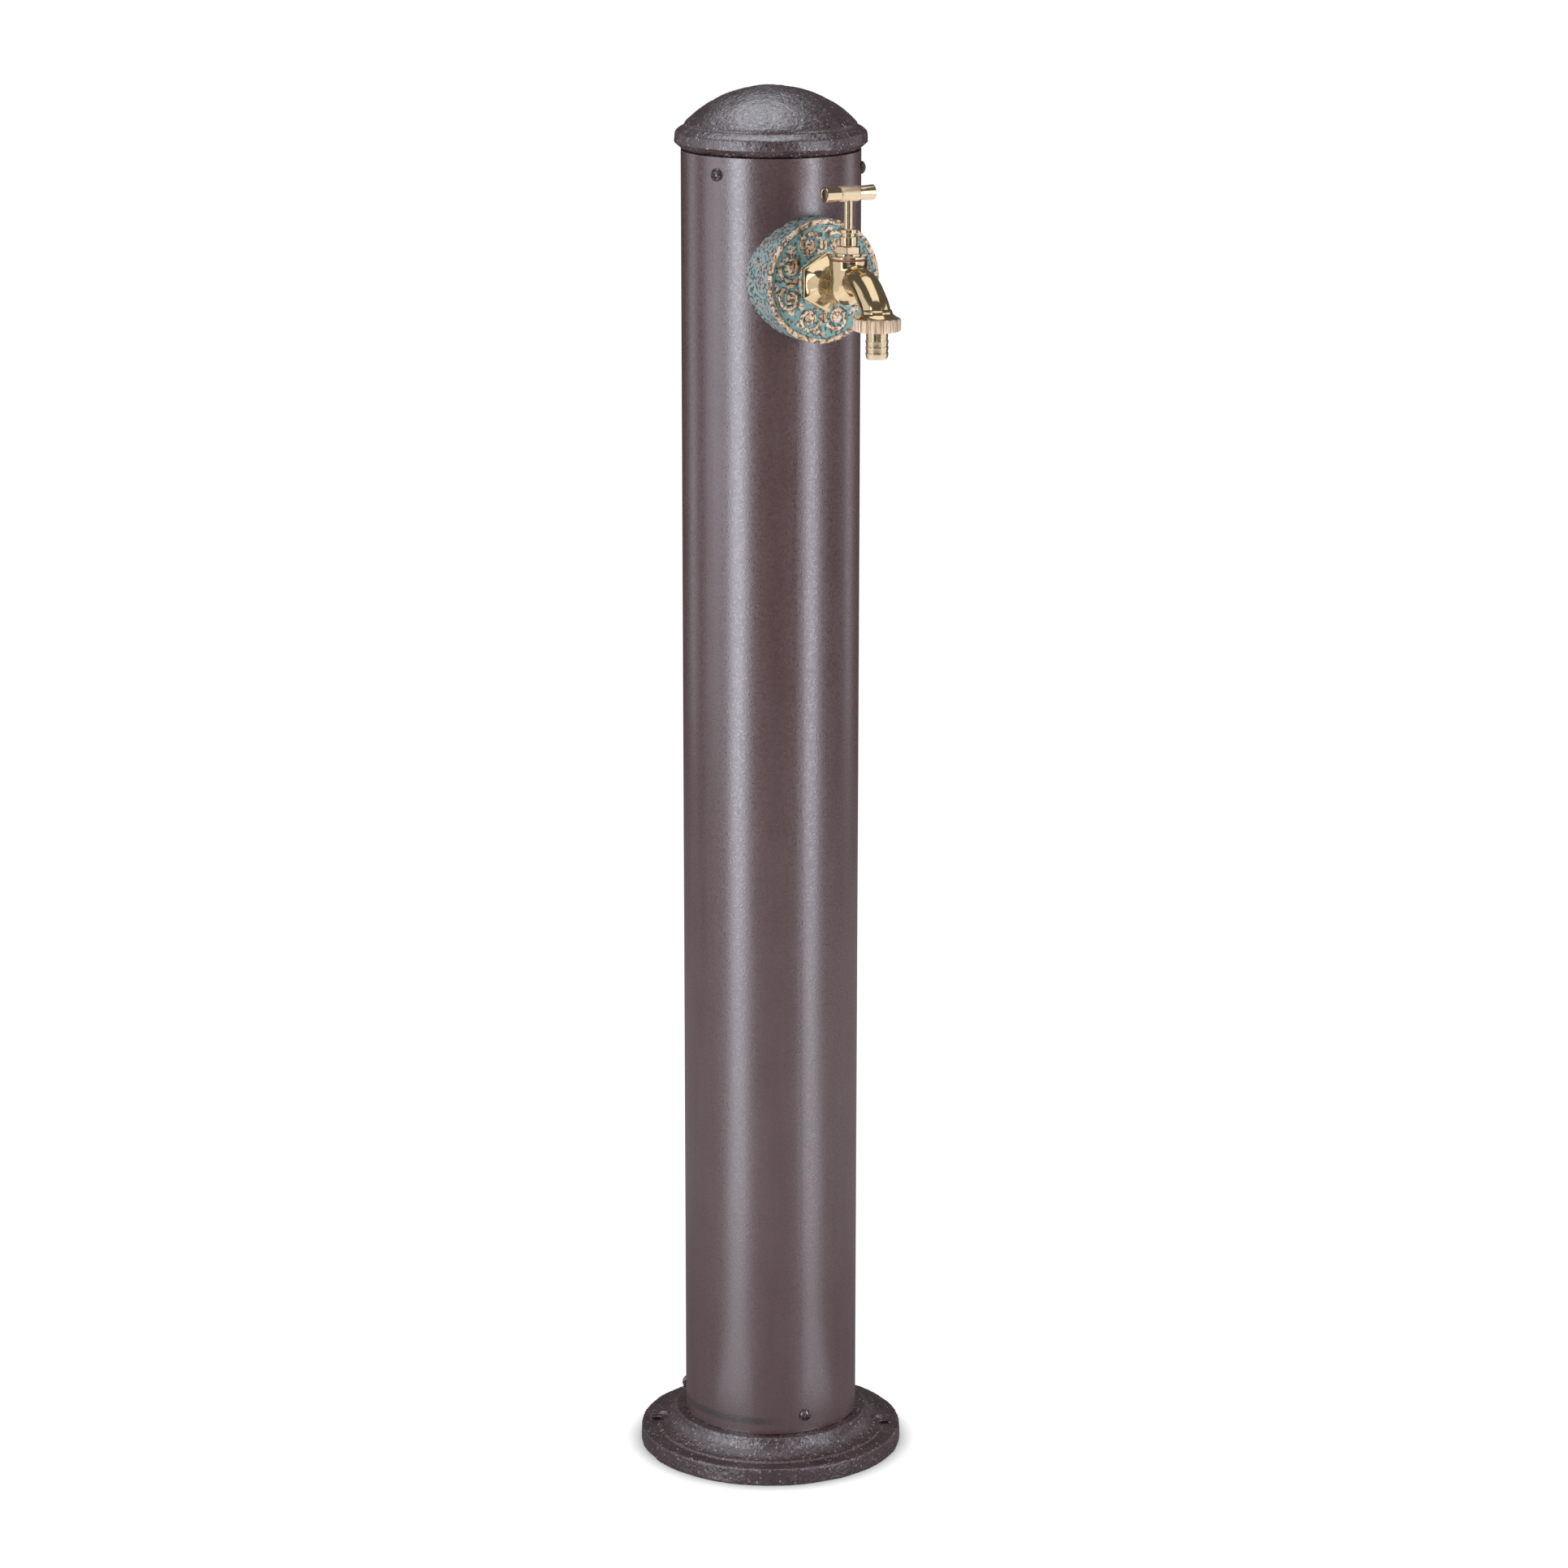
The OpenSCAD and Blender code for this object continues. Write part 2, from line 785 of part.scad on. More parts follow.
// The spout's run from the bowl over its crown down to the outlet, as a rod of radius r
module spout_rod(r, start) {
  bend_u = spout_start + bend_r * sin(bend_a);
  bend_z = -bend_r * (1 - cos(bend_a));
  end_u = bend_u + spout_run * cos(bend_a);
  end_z = bend_z - spout_run * sin(bend_a);
  on_spindle(spout_z) {
    translate([0, -start, 0])
      rotate([90, 0, 0])
        cylinder(r = r, h = spout_start - start + bend_lap);
    translate([0, -spout_start, -bend_r])
      bend(bend_r, r + bend_lap, 0, bend_a);
    translate([0, -bend_u, bend_z])
      rotate([90 + bend_a, 0, 0])
        translate([0, 0, -bend_lap])
          cylinder(r = r, h = spout_run + 2 * bend_lap);
    translate([0, -end_u + end_bend_r * sin(bend_a), end_z - end_bend_r * cos(bend_a)])
      bend(end_bend_r, r + bend_lap, bend_a, 90);
  }
}

module tap_outside() {
  on_tap_axis(face_u - tail_thread_l)
    cylinder(r = half_r, h = tail_thread_l + over);
  on_tap_axis(face_u)
    rotate([0, 0, 30])
      hexagon(flange_af, flange_t);
  on_tap_axis(face_u + flange_t / 2) {
    rotate_extrude()
      polygon(concat(
        [[0, 0], [flare_r, 0]],
        sag_arc([flare_r, flange_t / 2 + flare_edge], [neck_r - bend_lap, flare_l], flare_sag),
        [[0, flare_l]]
      ));
    cylinder(r = neck_r, h = spindle_reach - flange_t);
  }
  on_spindle(bowl_z) {
    sphere(r = bowl_r);
    cylinder(r1 = bowl_r, r2 = cup_edge_r, h = cup_z - bowl_z);
  }
  spout_rod(spout_r, 0);
  on_outlet(outlet_end_z)
    cylinder(r = three_quarter_r, h = outlet_z - outlet_end_z);
  on_outlet(outlet_z)
    rotate_extrude()
      polygon(concat(
        [[0, 0], [three_quarter_r, 0]],
        sag_arc([three_quarter_r, flare_edge], [spout_r - bend_lap, collar_h], collar_sag),
        [[0, collar_h]]
      ));
}

module tap_body() color("#d8b367") {
  difference() {
    tap_outside();
    on_tap_axis(face_u - tail_thread_l - over)
      cylinder(r = nipple_bore_r, h = tail_thread_l + over);
    translate([0, 0, -inlet_sink])
      on_tap_axis(face_u - over)
        cylinder(r = inlet_r, h = spindle_reach + over);
    on_spindle(seat_z - seat_t - chamber_low_r)
      sphere(r = chamber_low_r);
    on_spindle(seat_z - seat_t - chamber_low_r)
      cylinder(r = seat_r, h = chamber_low_r + seat_t + over);
    on_spindle(seat_z) {
      translate([0, 0, -seat_lip])
        ring(chamber_r, seat_r + seat_lip_w, cup_z - seat_z + seat_lip + over);
      cylinder(r = seat_r + 2 * seat_lip_w, h = cup_z - seat_z + over);
    }
    on_spindle(cup_z - cup_thread_l - thread_end)
      cylinder(r = cup_thread_r + thread_play, h = cup_thread_l + over);
    spout_rod(spout_bore_r, chamber_r - over);
    on_outlet(outlet_end_z - over)
      cylinder(r = outlet_bore_r, h = outlet_z - outlet_end_z + over);
  }
}

module bonnet() color("#d8b367") {
  difference() {
    union() {
      on_spindle(cup_z - cup_thread_l)
        cylinder(r = cup_thread_r, h = cup_thread_l + washer_t + over);
      on_spindle(bonnet_z)
        cylinder(r = bonnet_flange_r, h = bonnet_flange_t);
      on_spindle(bonnet_z + bonnet_flange_t)
        cylinder(r = bonnet_collar_r, h = bonnet_collar_h);
      on_spindle(bonnet_hex_z)
        rotate([0, 0, bonnet_hex_turn - 90])
          hexagon(bonnet_af, bonnet_hex_h);
      on_spindle(barrel_z)
        cylinder(r = barrel_r, h = barrel_h);
    }
    on_spindle(cup_z - cup_thread_l - over)
      cylinder(r = skirt_r, h = cup_thread_l + over - skirt_roof);
    on_spindle(cup_z - skirt_roof - over)
      cylinder(r = spindle_thread_r + thread_play, h = thread_roof - cup_z + skirt_roof + over);
    on_spindle(thread_roof - over)
      cylinder(r = stem_r + thread_play, h = barrel_top - thread_roof + 2 * over);
    on_spindle(packing_floor)
      cylinder(r = packing_r + thread_play, h = barrel_top - packing_floor + over);
  }
}

module bonnet_washer() color("#a8323a") {
  on_spindle(cup_z)
    ring(washer_r, cup_thread_r + seat_play, washer_t);
}

module gland_packing() color("#e6e2d8") {
  on_spindle(packing_floor)
    ring(packing_r, stem_r + thread_play, packing_h);
}

module gland_nut() color("#d8b367") {
  gland_foot = packing_floor + packing_h + seat_play;
  difference() {
    union() {
      on_spindle(gland_foot)
        cylinder(r = packing_r, h = gland_z - gland_foot + over);
      on_spindle(gland_z)
        cylinder(r = gland_r, h = gland_head_h);
    }
    on_spindle(gland_foot - over)
      cylinder(r = stem_r + thread_play, h = gland_top - gland_foot + 2 * over);
  }
}

module spindle() color("#d8b367") {
  difference() {
    union() {
      on_spindle(spindle_z)
        cylinder(r = spindle_thread_r, h = spindle_thread_l);
      on_spindle(spindle_z)
        cylinder(r = stem_r, h = hub_z - hub_r + stem_socket - spindle_z);
    }
    on_spindle(spindle_z - over)
      cylinder(r = jumper_r + thread_play, h = jumper_l + jumper_hole_extra + over);
  }
}

module tee_handle() color("#d8b367") {
  half = tee_l / 2;
  difference() {
    on_spindle(hub_z)
      rotate([0, 90, 0]) {
        translate([0, 0, -hub_l / 2])
          cylinder(r = hub_r, h = hub_l);
        for (side = [0, 1])
          mirror([0, 0, side])
            rotate_extrude()
              polygon([[0, 0], [tee_waist_r, 0], [tee_waist_r, hub_l / 2],
                [tee_end_r, half - tee_chamfer], [tee_end_r - tee_chamfer, half],
                [tee_recess_r, half], [0, half - tee_recess]]);
      }
    on_spindle(hub_z - 2 * hub_r)
      cylinder(r = stem_r + thread_play, h = hub_r + stem_socket + seat_play);
  }
}

module jumper_valve() color("#c9a35c") {
  on_spindle(plate_top - plate_t) {
    cylinder(r = plate_r, h = plate_t);
    cylinder(r = jumper_r, h = plate_t + jumper_l);
    translate([0, 0, -washer_valve_t - valve_nut_h - valve_nut_stud])
      cylinder(r = jumper_r, h = washer_valve_t + valve_nut_h + valve_nut_stud);
  }
}

module valve_washer() color("#2c2c2e") {
  on_spindle(seat_z)
    ring(washer_valve_r, jumper_r + seat_play, washer_valve_t);
}

module valve_nut() color("#c9a35c") {
  on_spindle(seat_z - valve_nut_h)
    difference() {
      hexagon(valve_nut_af, valve_nut_h);
      translate([0, 0, -over])
        cylinder(r = jumper_r + seat_play, h = valve_nut_h + 2 * over);
    }
}

module union_nut() color("#e3c48b") {
  on_outlet(nut_z)
    difference() {
      intersection() {
        linear_extrude(union_h)
          polygon([for (i = [0:2 * knurl_count - 1])
            let (a = 180 * i / knurl_count, r = union_r - knurl_depth * (i % 2))
            r * [cos(a), sin(a)]]);
        rotate_extrude()
          polygon([[0, 0], [union_r - nut_chamfer, 0], [union_r, nut_chamfer],
            [union_r, union_h - nut_chamfer], [union_r - nut_chamfer, union_h], [0, union_h]]);
      }
      translate([0, 0, -over])
        cylinder(r = tail_r + nut_hole_play, h = union_h + over);
      translate([0, 0, nut_lip])
        cylinder(r = three_quarter_r + thread_play, h = union_h);
    }
}

module hose_tail() color("#d8b367") {
  groove_r = tail_r - ridge_step;
  land_z = nut_z - tail_land;
  end_z = land_z - ridge_count * ridge_pitch;
  on_outlet(0)
    rotate_extrude()
      polygon(concat(
        [[tail_bore_r, tail_washer_z], [tail_bore_r, end_z],
          [groove_r - tail_round, end_z], [groove_r, end_z + tail_round]],
        [for (i = [ridge_count - 1:-1:0])
          each [[tail_r, land_z - i * ridge_pitch], [groove_r, land_z - i * ridge_pitch]]],
        [[groove_r + ridge_step / 2, tail_flange_z], [tail_flange_r, tail_flange_z],
          [tail_flange_r, tail_washer_z]]
      ));
}

module tail_washer() color("#2c2c2e") {
  on_outlet(tail_washer_z)
    ring(tail_flange_r, outlet_bore_r, tail_washer_t);
}

base_flange();
column_tube();
cap();
cap_screws();
base_screws();
rosette();
wall_nipple();
saddle_washer();
lock_nut();
inlet_elbow();
riser_pipe();
inlet_connector();
connector_nut();
tap_body();
bonnet();
bonnet_washer();
gland_packing();
gland_nut();
spindle();
tee_handle();
jumper_valve();
valve_washer();
valve_nut();
union_nut();
hose_tail();
tail_washer();
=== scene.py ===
"""Looks of the garden standpipe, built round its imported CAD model.

It is laid out as an add-on: the settings are property groups, each group of pieces has
an operator, one panel lists them, and main() runs them in order."""
import math

import bpy
import numpy as np
import openvdb
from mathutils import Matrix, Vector, noise


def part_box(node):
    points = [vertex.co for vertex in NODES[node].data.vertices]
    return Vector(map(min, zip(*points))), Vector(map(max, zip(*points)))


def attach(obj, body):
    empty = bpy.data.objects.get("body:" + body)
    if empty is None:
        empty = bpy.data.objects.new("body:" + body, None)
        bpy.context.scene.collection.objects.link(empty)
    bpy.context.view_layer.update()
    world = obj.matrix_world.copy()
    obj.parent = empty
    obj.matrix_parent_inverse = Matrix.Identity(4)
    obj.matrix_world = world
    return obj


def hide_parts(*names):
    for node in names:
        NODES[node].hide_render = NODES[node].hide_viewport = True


bl_info = {
    "name": "Garden Standpipe",
    "version": (1, 0, 0),
    "blender": (4, 5, 0),
    "location": "3D View > Sidebar > Standpipe",
    "description": "Dresses a garden standpipe with cast, coated, patinated and polished metal",
    "category": "Object",
}

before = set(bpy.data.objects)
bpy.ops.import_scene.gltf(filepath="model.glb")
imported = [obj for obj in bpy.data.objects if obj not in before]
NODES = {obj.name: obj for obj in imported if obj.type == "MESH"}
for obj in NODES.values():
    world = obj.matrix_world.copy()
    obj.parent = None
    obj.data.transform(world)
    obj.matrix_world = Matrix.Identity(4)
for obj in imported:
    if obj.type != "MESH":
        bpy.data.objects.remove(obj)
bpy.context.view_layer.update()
MM = 0.001


def low(node):
    """Lowest corner of a CAD node, in millimetres."""
    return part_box(node)[0] / MM


def high(node):
    """Highest corner of a CAD node, in millimetres."""
    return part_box(node)[1] / MM


def linear(hex_colour):
    """Linear red, green, blue and alpha of an sRGB hex colour."""
    channels = [int(hex_colour[i:i + 2], 16) / 255 for i in (1, 3, 5)]
    return [c / 12.92 if c <= 0.04045 else ((c + 0.055) / 1.055) ** 2.4 for c in channels] + [1.0]


# Places that the CAD model gives, in millimetres. u counts outwards from the column's axis.
COLUMN_R = high("column_tube").x
COLUMN_TOP = high("column_tube").z
AXIS_Z = (low("rosette").z + high("rosette").z) / 2
ROSETTE_R = high("rosette").x
TAIL_THREAD = 10.0
THREAD_END_U = -high("tap_body").y
FACE_U = THREAD_END_U + TAIL_THREAD
SPINDLE_U = -(low("bonnet").y + high("bonnet").y) / 2
OUTLET_U = -(low("union_nut").y + high("union_nut").y) / 2
CUP_Z = low("bonnet_washer").z
BONNET_Z = high("bonnet_washer").z
BARREL_TOP = high("bonnet").z
GLAND_TOP = high("gland_nut").z
NUT_Z = low("union_nut").z
NUT_TOP = high("union_nut").z
OUTLET_END_Z = high("tail_washer").z
SEAT_Z = low("valve_washer").z
HUB_Z = (low("tee_handle").z + high("tee_handle").z) / 2
TEE_HALF = high("tee_handle").x


# Settings

def colour_setting(name, description, value):
    """A colour for the panel, from an sRGB hex colour."""
    return bpy.props.FloatVectorProperty(
        name=name, description=description, subtype="COLOR", size=4, min=0, max=1,
        default=linear(value))


def number_setting(name, description, default, least, most, **more):
    """A number for the panel, with its least and greatest value."""
    return bpy.props.FloatProperty(
        name=name, description=description, default=default, min=least, max=most, **more)


def length_setting(name, description, default, least, most):
    """A length for the panel, given in millimetres."""
    return number_setting(name, description, default * MM, least * MM, most * MM,
                          unit="LENGTH", precision=5)


class StandpipeCoat(bpy.types.PropertyGroup):
    """Powder coat of the column and its castings."""

    deep: colour_setting("Deep colour", "Coat where it lies thick on a casting", "#2f1c1c")
    pale: colour_setting("Pale colour", "Coat where it lies thin on a casting", "#432f2f")
    tube: colour_setting("Tube colour", "Coat on the smooth tube", "#4a3332")
    screw: colour_setting("Screw colour", "Dark finish of the screws", "#5d5354")
    swell: length_setting("Swell", "Height of the slow swells in the cast surface", 0.45, 0, 2)
    grit: length_setting("Grit", "Height of the sand's grit in the cast surface", 0.22, 0, 1)


class StandpipeRosette(bpy.types.PropertyGroup):
    """Cast rosette with volutes, patinated and rubbed."""

    orbit_share: number_setting(
        "Orbit share", "Distance of the volutes from the centre, as a share of the radius",
        0.64, 0.5, 0.8)
    volute: length_setting("Volute", "Outer radius of one volute", 9.3, 5, 10)
    pitch: length_setting("Pitch", "Distance from one turn of a volute to the next", 5.0, 3, 7)
    eye: length_setting("Eye", "Radius of the knob in a volute's middle", 3.5, 1, 4)
    teal: colour_setting("Verdigris", "Green-blue patina in the hollows", "#82aaa4")
    pale_teal: colour_setting("Pale verdigris", "Chalky patina on the side", "#879f9a")
    bronze: colour_setting("Bronze", "Metal where the patina is rubbed off", "#f6dcbc")
    copper: colour_setting("Copper", "Redder metal among the rubbed places", "#c59468")


class StandpipeBrass(bpy.types.PropertyGroup):
    """Brass of the tap and its fittings."""

    polished: colour_setting("Polished brass", "Colour of the polished tap body", "#eed3a4")
    turned: colour_setting("Turned brass", "Colour of the turned fittings", "#efd7b0")
    knurled: colour_setting("Knurled brass", "Colour of the knurled union nut", "#f6e4cd")
    plain: colour_setting("Plain brass", "Colour of the fittings inside the column", "#c9a566")
    spout: length_setting("Spout", "Outside radius of the spout", 9, 7, 11)
    bowl: length_setting("Bowl", "Radius of the bowl under the cup", 10.8, 9, 12)
    neck: length_setting("Neck", "Radius of the neck between flange and bowl", 9.5, 8, 11)
    blend: length_setting(
        "Blend", "Size of the hollows where the body's forms run together", 3.2, 0.5, 6)


class StandpipeStage(bpy.types.PropertyGroup):
    """Floor, lamps and camera."""

    floor: number_setting("Floor", "Radius of the floor", 24.0, 2, 60, unit="LENGTH")
    paper: number_setting(
        "Paper", "Brightness of the floor near the foot, as the metal mirrors it", 0.16, 0, 4)
    strip: number_setting(
        "Strips", "Brightness of the two tall strip lamps, as the metal mirrors them", 3.7, 0, 10)
    fill: number_setting(
        "Fill", "Brightness of the fill lamps, which light but aren't mirrored", 6.4, 0, 40)
    panel: number_setting("Panels", "Brightness of the wide panels", 1.5, 0, 10)
    tent: number_setting("Tent", "Brightness of the white panels round the tap", 1.05, 0, 10)
    lens: number_setting("Lens", "Focal length on a 36 mm sensor", 106.52, 20, 300)


# Mesh helpers, all in millimetres

def in_scene(name, data):
    """A new object of the scene, with this data."""
    thing = bpy.data.objects.new(name, data)
    bpy.context.scene.collection.objects.link(thing)
    return thing


def add_piece(name, points, faces, material, body, nodes=(), sharp=None):
    """Makes a mesh from points in millimetres, as a piece that rides on a body and stands
    for CAD nodes."""
    mesh = bpy.data.meshes.new(name)
    mesh.from_pydata((np.asarray(points, float) * MM).tolist(), [], faces)
    mesh.shade_smooth()
    if sharp is not None:
        mesh.set_sharp_from_angle(angle=math.radians(sharp))
    mesh.materials.append(material)
    piece = in_scene(name, mesh)
    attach(piece, body)
    if nodes:
        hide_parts(*nodes)
    return piece


def quads(rows, columns, first=0, closed=False):
    """Faces between rows of points that run round a closed loop of columns."""
    row = np.arange(rows if closed else rows - 1)[:, None]
    column = np.arange(columns)[None, :]
    after, above = (column + 1) % columns, (row + 1) % rows
    faces = np.stack(np.broadcast_arrays(
        row * columns + column, row * columns + after,
        above * columns + after, above * columns + column), -1)
    return (faces.reshape(-1, 4) + first).tolist()


def turned(profile, steps=96):
    """A closed profile of (radius, height) points turned about the Z axis."""
    r, z = np.array(profile, float).T
    angle = np.linspace(0, 2 * np.pi, steps, endpoint=False)
    points = np.stack([np.outer(r, np.cos(angle)), np.outer(r, np.sin(angle)),
                       np.repeat(z[:, None], steps, 1)], -1)
    return points.reshape(-1, 3), quads(len(profile), steps, closed=True)


def rounded(corners, steps=4):
    """A closed profile with its corners rounded. A corner is (radius, height, rounding)."""
    out = []
    for i, (x, z, rounding) in enumerate(corners):
        here = np.array((x, z), float)
        if rounding == 0:
            out.append(here)
            continue
        before = np.array(corners[i - 1][:2]) - here
        after = np.array(corners[(i + 1) % len(corners)][:2]) - here
        a, b = before / np.linalg.norm(before), after / np.linalg.norm(after)
        half = math.acos(max(-1.0, min(1.0, float(a @ b)))) / 2
        reach = min(rounding / math.tan(half), 0.45 * np.linalg.norm(before),
                    0.45 * np.linalg.norm(after))
        for t in np.linspace(0, 1, steps + 1):
            out.append(here + a * reach * (1 - t) ** 2 + b * reach * t ** 2)
    return out


def refined(profile, spacing):
    """A closed profile with points added so that none are further apart than the spacing."""
    out = []
    for i, p in enumerate(profile):
        q = profile[(i + 1) % len(profile)]
        count = max(1, math.ceil(np.linalg.norm(np.subtract(q, p)) / spacing))
        out += [np.add(p, np.subtract(q, p) * k / count) for k in range(count)]
    return out


def merged(*parts):
    """One set of points and faces from several."""
    points, faces, first = [], [], 0
    for part_points, part_faces in parts:
        points.append(part_points)
        faces += [[i + first for i in face] for face in part_faces]
        first += len(part_points)
    return np.concatenate(points), faces


def moved(part, x=0.0, y=0.0, z=0.0):
    """Points and faces moved by millimetres."""
    return part[0] + np.array((x, y, z)), part[1]


def along_x(part):
    """Points and faces turned so that the local Z axis runs along X."""
    return part[0][:, [2, 0, 1]], part[1]


def add_part(name, part, axis_u, material, body, nodes=(), sharp=35, z=0.0):
    """Adds a part that was made round the Z axis, moved out to the axis it turns on."""
    points, faces = moved(part, y=-axis_u, z=z)
    return add_piece(name, points, faces, material, body, nodes, sharp)


def window(value, start, end):
    """Smooth step from 0 at start to 1 at end."""
    t = np.clip((value - start) / (end - start), 0, 1)
    return t * t * (3 - 2 * t)


def grain(points, size, seed, octaves=1):
    """Smooth noise from -1 to 1 at points, with swells of the given size."""
    shift = Vector((seed * 7.3, seed * 3.1, seed * 5.7))
    scaled = (points / size).tolist()
    if octaves == 1:
        return np.array([noise.noise(Vector(p) + shift) for p in scaled])
    return np.array([noise.fractal(Vector(p) + shift, 1.0, 2.0, octaves) for p in scaled])


def point_normals(points, faces):
    """Unit normals at the points, from the faces round them."""
    mesh = bpy.data.meshes.new("normals")
    mesh.from_pydata(points.tolist(), [], faces)
    normals = np.zeros(len(points) * 3, np.float32)
    mesh.vertex_normals.foreach_get("vector", normals)
    bpy.data.meshes.remove(mesh)
    return normals.reshape(-1, 3)


def cast_skin(points, faces, coat, seed):
    """Points pushed inwards by the swells and grit that a sand mould leaves."""
    swell = coat.swell / MM * (grain(points, 11.0, seed) - 0.25)
    grit = coat.grit / MM * (grain(points, 2.6, seed + 1, 2) - 0.3)
    depth = np.minimum(swell + grit + 0.06, 0.12)
    return points + point_normals(points, faces) * depth[:, None]


def isosurface(distance, corner_low, corner_high, voxel, settle=3):
    """Surface where a function of x, y and z is zero, as points and faces."""
    axes = [np.arange(a, b + voxel, voxel, dtype=np.float32)
            for a, b in zip(corner_low, corner_high)]
    field = distance(*np.meshgrid(*axes, indexing="ij", sparse=True)).astype(np.float32)
    grid = openvdb.FloatGrid(3 * voxel)
    grid.copyFromArray(np.clip(field, -3 * voxel, 3 * voxel))
    points, triangles, squares = grid.convertToPolygons(0.0)
    points = points.astype(float) * voxel + np.array(corner_low)
    step = voxel / 4
    for _ in range(settle):
        value = distance(*points.T)
        slope = np.stack([distance(*(points + step * unit).T) - value for unit in np.eye(3)], -1)
        slope /= step
        shift = value / np.maximum((slope ** 2).sum(1), 0.2)
        points -= np.clip(shift, -voxel, voxel)[:, None] * slope
    faces = squares.tolist() + triangles.tolist()
    sample = faces[:400]
    outward = 0.0
    for face in sample:
        a, b, c = points[face[0]], points[face[1]], points[face[2]]
        normal = np.cross(b - a, c - a)
        middle = (a + b + c) / 3
        normal /= max(np.linalg.norm(normal), 1e-9)
        outward += float(distance(*(middle + step * normal)) - distance(*(middle - step * normal)))
    if outward < 0:
        faces = [face[::-1] for face in faces]
    return points, faces


def smooth_min(a, b, size):
    """Lesser of two distances, with their crease filled over the given size."""
    mix = np.clip(size - np.abs(a - b), 0, None) / size
    return np.minimum(a, b) - mix * mix * size / 4


# Materials

def put(tree, kind, settings=None, inputs=None):
    """Adds a node with its settings, and its inputs as values or as sockets to link."""
    node = tree.nodes.new(kind)
    for name, value in (settings or {}).items():
        setattr(node, name, value)
    for name, value in (inputs or {}).items():
        if isinstance(value, bpy.types.NodeSocket):
            tree.links.new(value, node.inputs[name])
        else:
            node.inputs[name].default_value = value
    return node


def per(size):
    """Scale of a pattern whose features are the given size, in millimetres."""
    return 1 / (size * MM)


def start_material(name, colour, roughness, metallic=0.0):
    """A material with its shader's own colour and gloss, and its object coordinates."""
    material = bpy.data.materials.new(name)
    material.use_nodes = True
    tree = material.node_tree
    shader = tree.nodes["Principled BSDF"]
    shader.inputs["Base Color"].default_value = colour
    shader.inputs["Roughness"].default_value = roughness
    shader.inputs["Metallic"].default_value = metallic
    return material, tree, shader, put(tree, "ShaderNodeTexCoord").outputs["Object"]


# Mix node sockets for colours
FACTOR, FIRST, SECOND, MIXED = 0, 6, 7, 2
COLOURS = {"data_type": "RGBA"}
SMOOTH = "SMOOTHSTEP"
# The powder coat holds mica flake, which mirrors more than a plain lacquer does
FLAKE_IOR = 1.85
FLAKE_SIZE = 1.1


def noise_at(tree, place, size, detail=2.0, roughness=0.5):
    """Noise with features of the given size, in millimetres."""
    return put(tree, "ShaderNodeTexNoise", None, {
        "Vector": place, "Scale": per(size), "Detail": detail,
        "Roughness": roughness}).outputs["Fac"]


def cells_at(tree, place, size):
    """Cells of the given size, in millimetres."""
    return put(tree, "ShaderNodeTexVoronoi", None, {"Vector": place, "Scale": per(size)})


def spread(tree, value, start=0.0, end=1.0, at_start=0.0, at_end=1.0, kind="LINEAR"):
    """A value taken from one range to another, and held at its ends."""
    return put(tree, "ShaderNodeMapRange", {"interpolation_type": kind}, {
        "Value": value, "From Min": start, "From Max": end,
        "To Min": at_start, "To Max": at_end}).outputs["Result"]


def calculate(tree, operation, *values, clamp=False):
    """The result of an operation on values or sockets."""
    return put(tree, "ShaderNodeMath", {"operation": operation, "use_clamp": clamp},
               dict(enumerate(values))).outputs["Value"]


def mixed(tree, factor, first, second):
    """A colour between two."""
    return put(tree, "ShaderNodeMix", COLOURS, {
        FACTOR: factor, FIRST: first, SECOND: second}).outputs[MIXED]


def stretched(tree, place, scale):
    """Coordinates scaled, so that a pattern on them stretches where the scale is small."""
    node = put(tree, "ShaderNodeMapping", None, {"Vector": place, "Scale": scale})
    return node.outputs["Vector"]


def relief(tree, height, depth, strength=1.0, settings=None, **more):
    """A normal bent by a height, whose depth is in millimetres."""
    return put(tree, "ShaderNodeBump", settings, {
        "Height": height, "Strength": strength, "Distance": depth * MM, **more}).outputs["Normal"]


def wired(material, sockets):
    """The material, with sockets linked to the inputs of its shader."""
    tree = material.node_tree
    for name, socket in sockets.items():
        tree.links.new(socket, tree.nodes["Principled BSDF"].inputs[name])
    return material


def mica_flake(tree, shader, place):
    """Mica flakes in the coat: the distance in each, and two shares that each has its own."""
    shader.inputs["IOR"].default_value = FLAKE_IOR
    shader.inputs["Specular IOR Level"].default_value = 1.0
    flake = cells_at(tree, place, FLAKE_SIZE)
    fleck = put(tree, "ShaderNodeSeparateColor", None, {0: flake.outputs["Color"]})
    return flake.outputs["Distance"], fleck.outputs["Red"], fleck.outputs["Green"]


def coated_casting(coat):
    """Sand-cast iron under baked powder coat: the coat rounds the sand's grit, leaves it open in
    small pits, and breaks each highlight into sparkling grains. The pits are painted near black
    as shade, and a few flakes are painted pale as glints."""
    material, tree, shader, place = start_material("powder_coated_casting", coat.deep, 0.42)
    _, gloss, glint = mica_flake(tree, shader, place)
    swell = noise_at(tree, place, 14, 3.0)
    pit_size = spread(tree, noise_at(tree, place, 9), 0.45, 0.6, 0.0, 0.24)
    pit = calculate(tree, "LESS_THAN", cells_at(tree, place, 3.6).outputs["Distance"], pit_size)
    coloured = mixed(tree, spread(tree, swell, 0.35, 0.65), coat.deep, coat.pale)
    # Painted shade: the pits are darkened to near black
    pit_shaded = mixed(tree, pit, coloured, linear("#120d0e"))
    # Painted glints: a few mica cells get a pale colour that stands in for their sparkle
    painted_sparkle = calculate(tree, "GREATER_THAN", glint, 0.97)
    rise = relief(tree, noise_at(tree, place, 1.6, 3.0, 0.65), 0.5)
    return wired(material, {
        "Base Color": mixed(tree, painted_sparkle, pit_shaded, linear("#8a7b80")),
        "Roughness": spread(tree, gloss, at_start=0.2, at_end=0.36),
        "Normal": relief(tree, pit, 0.4, 0.8, {"invert": True}, Normal=rise)})


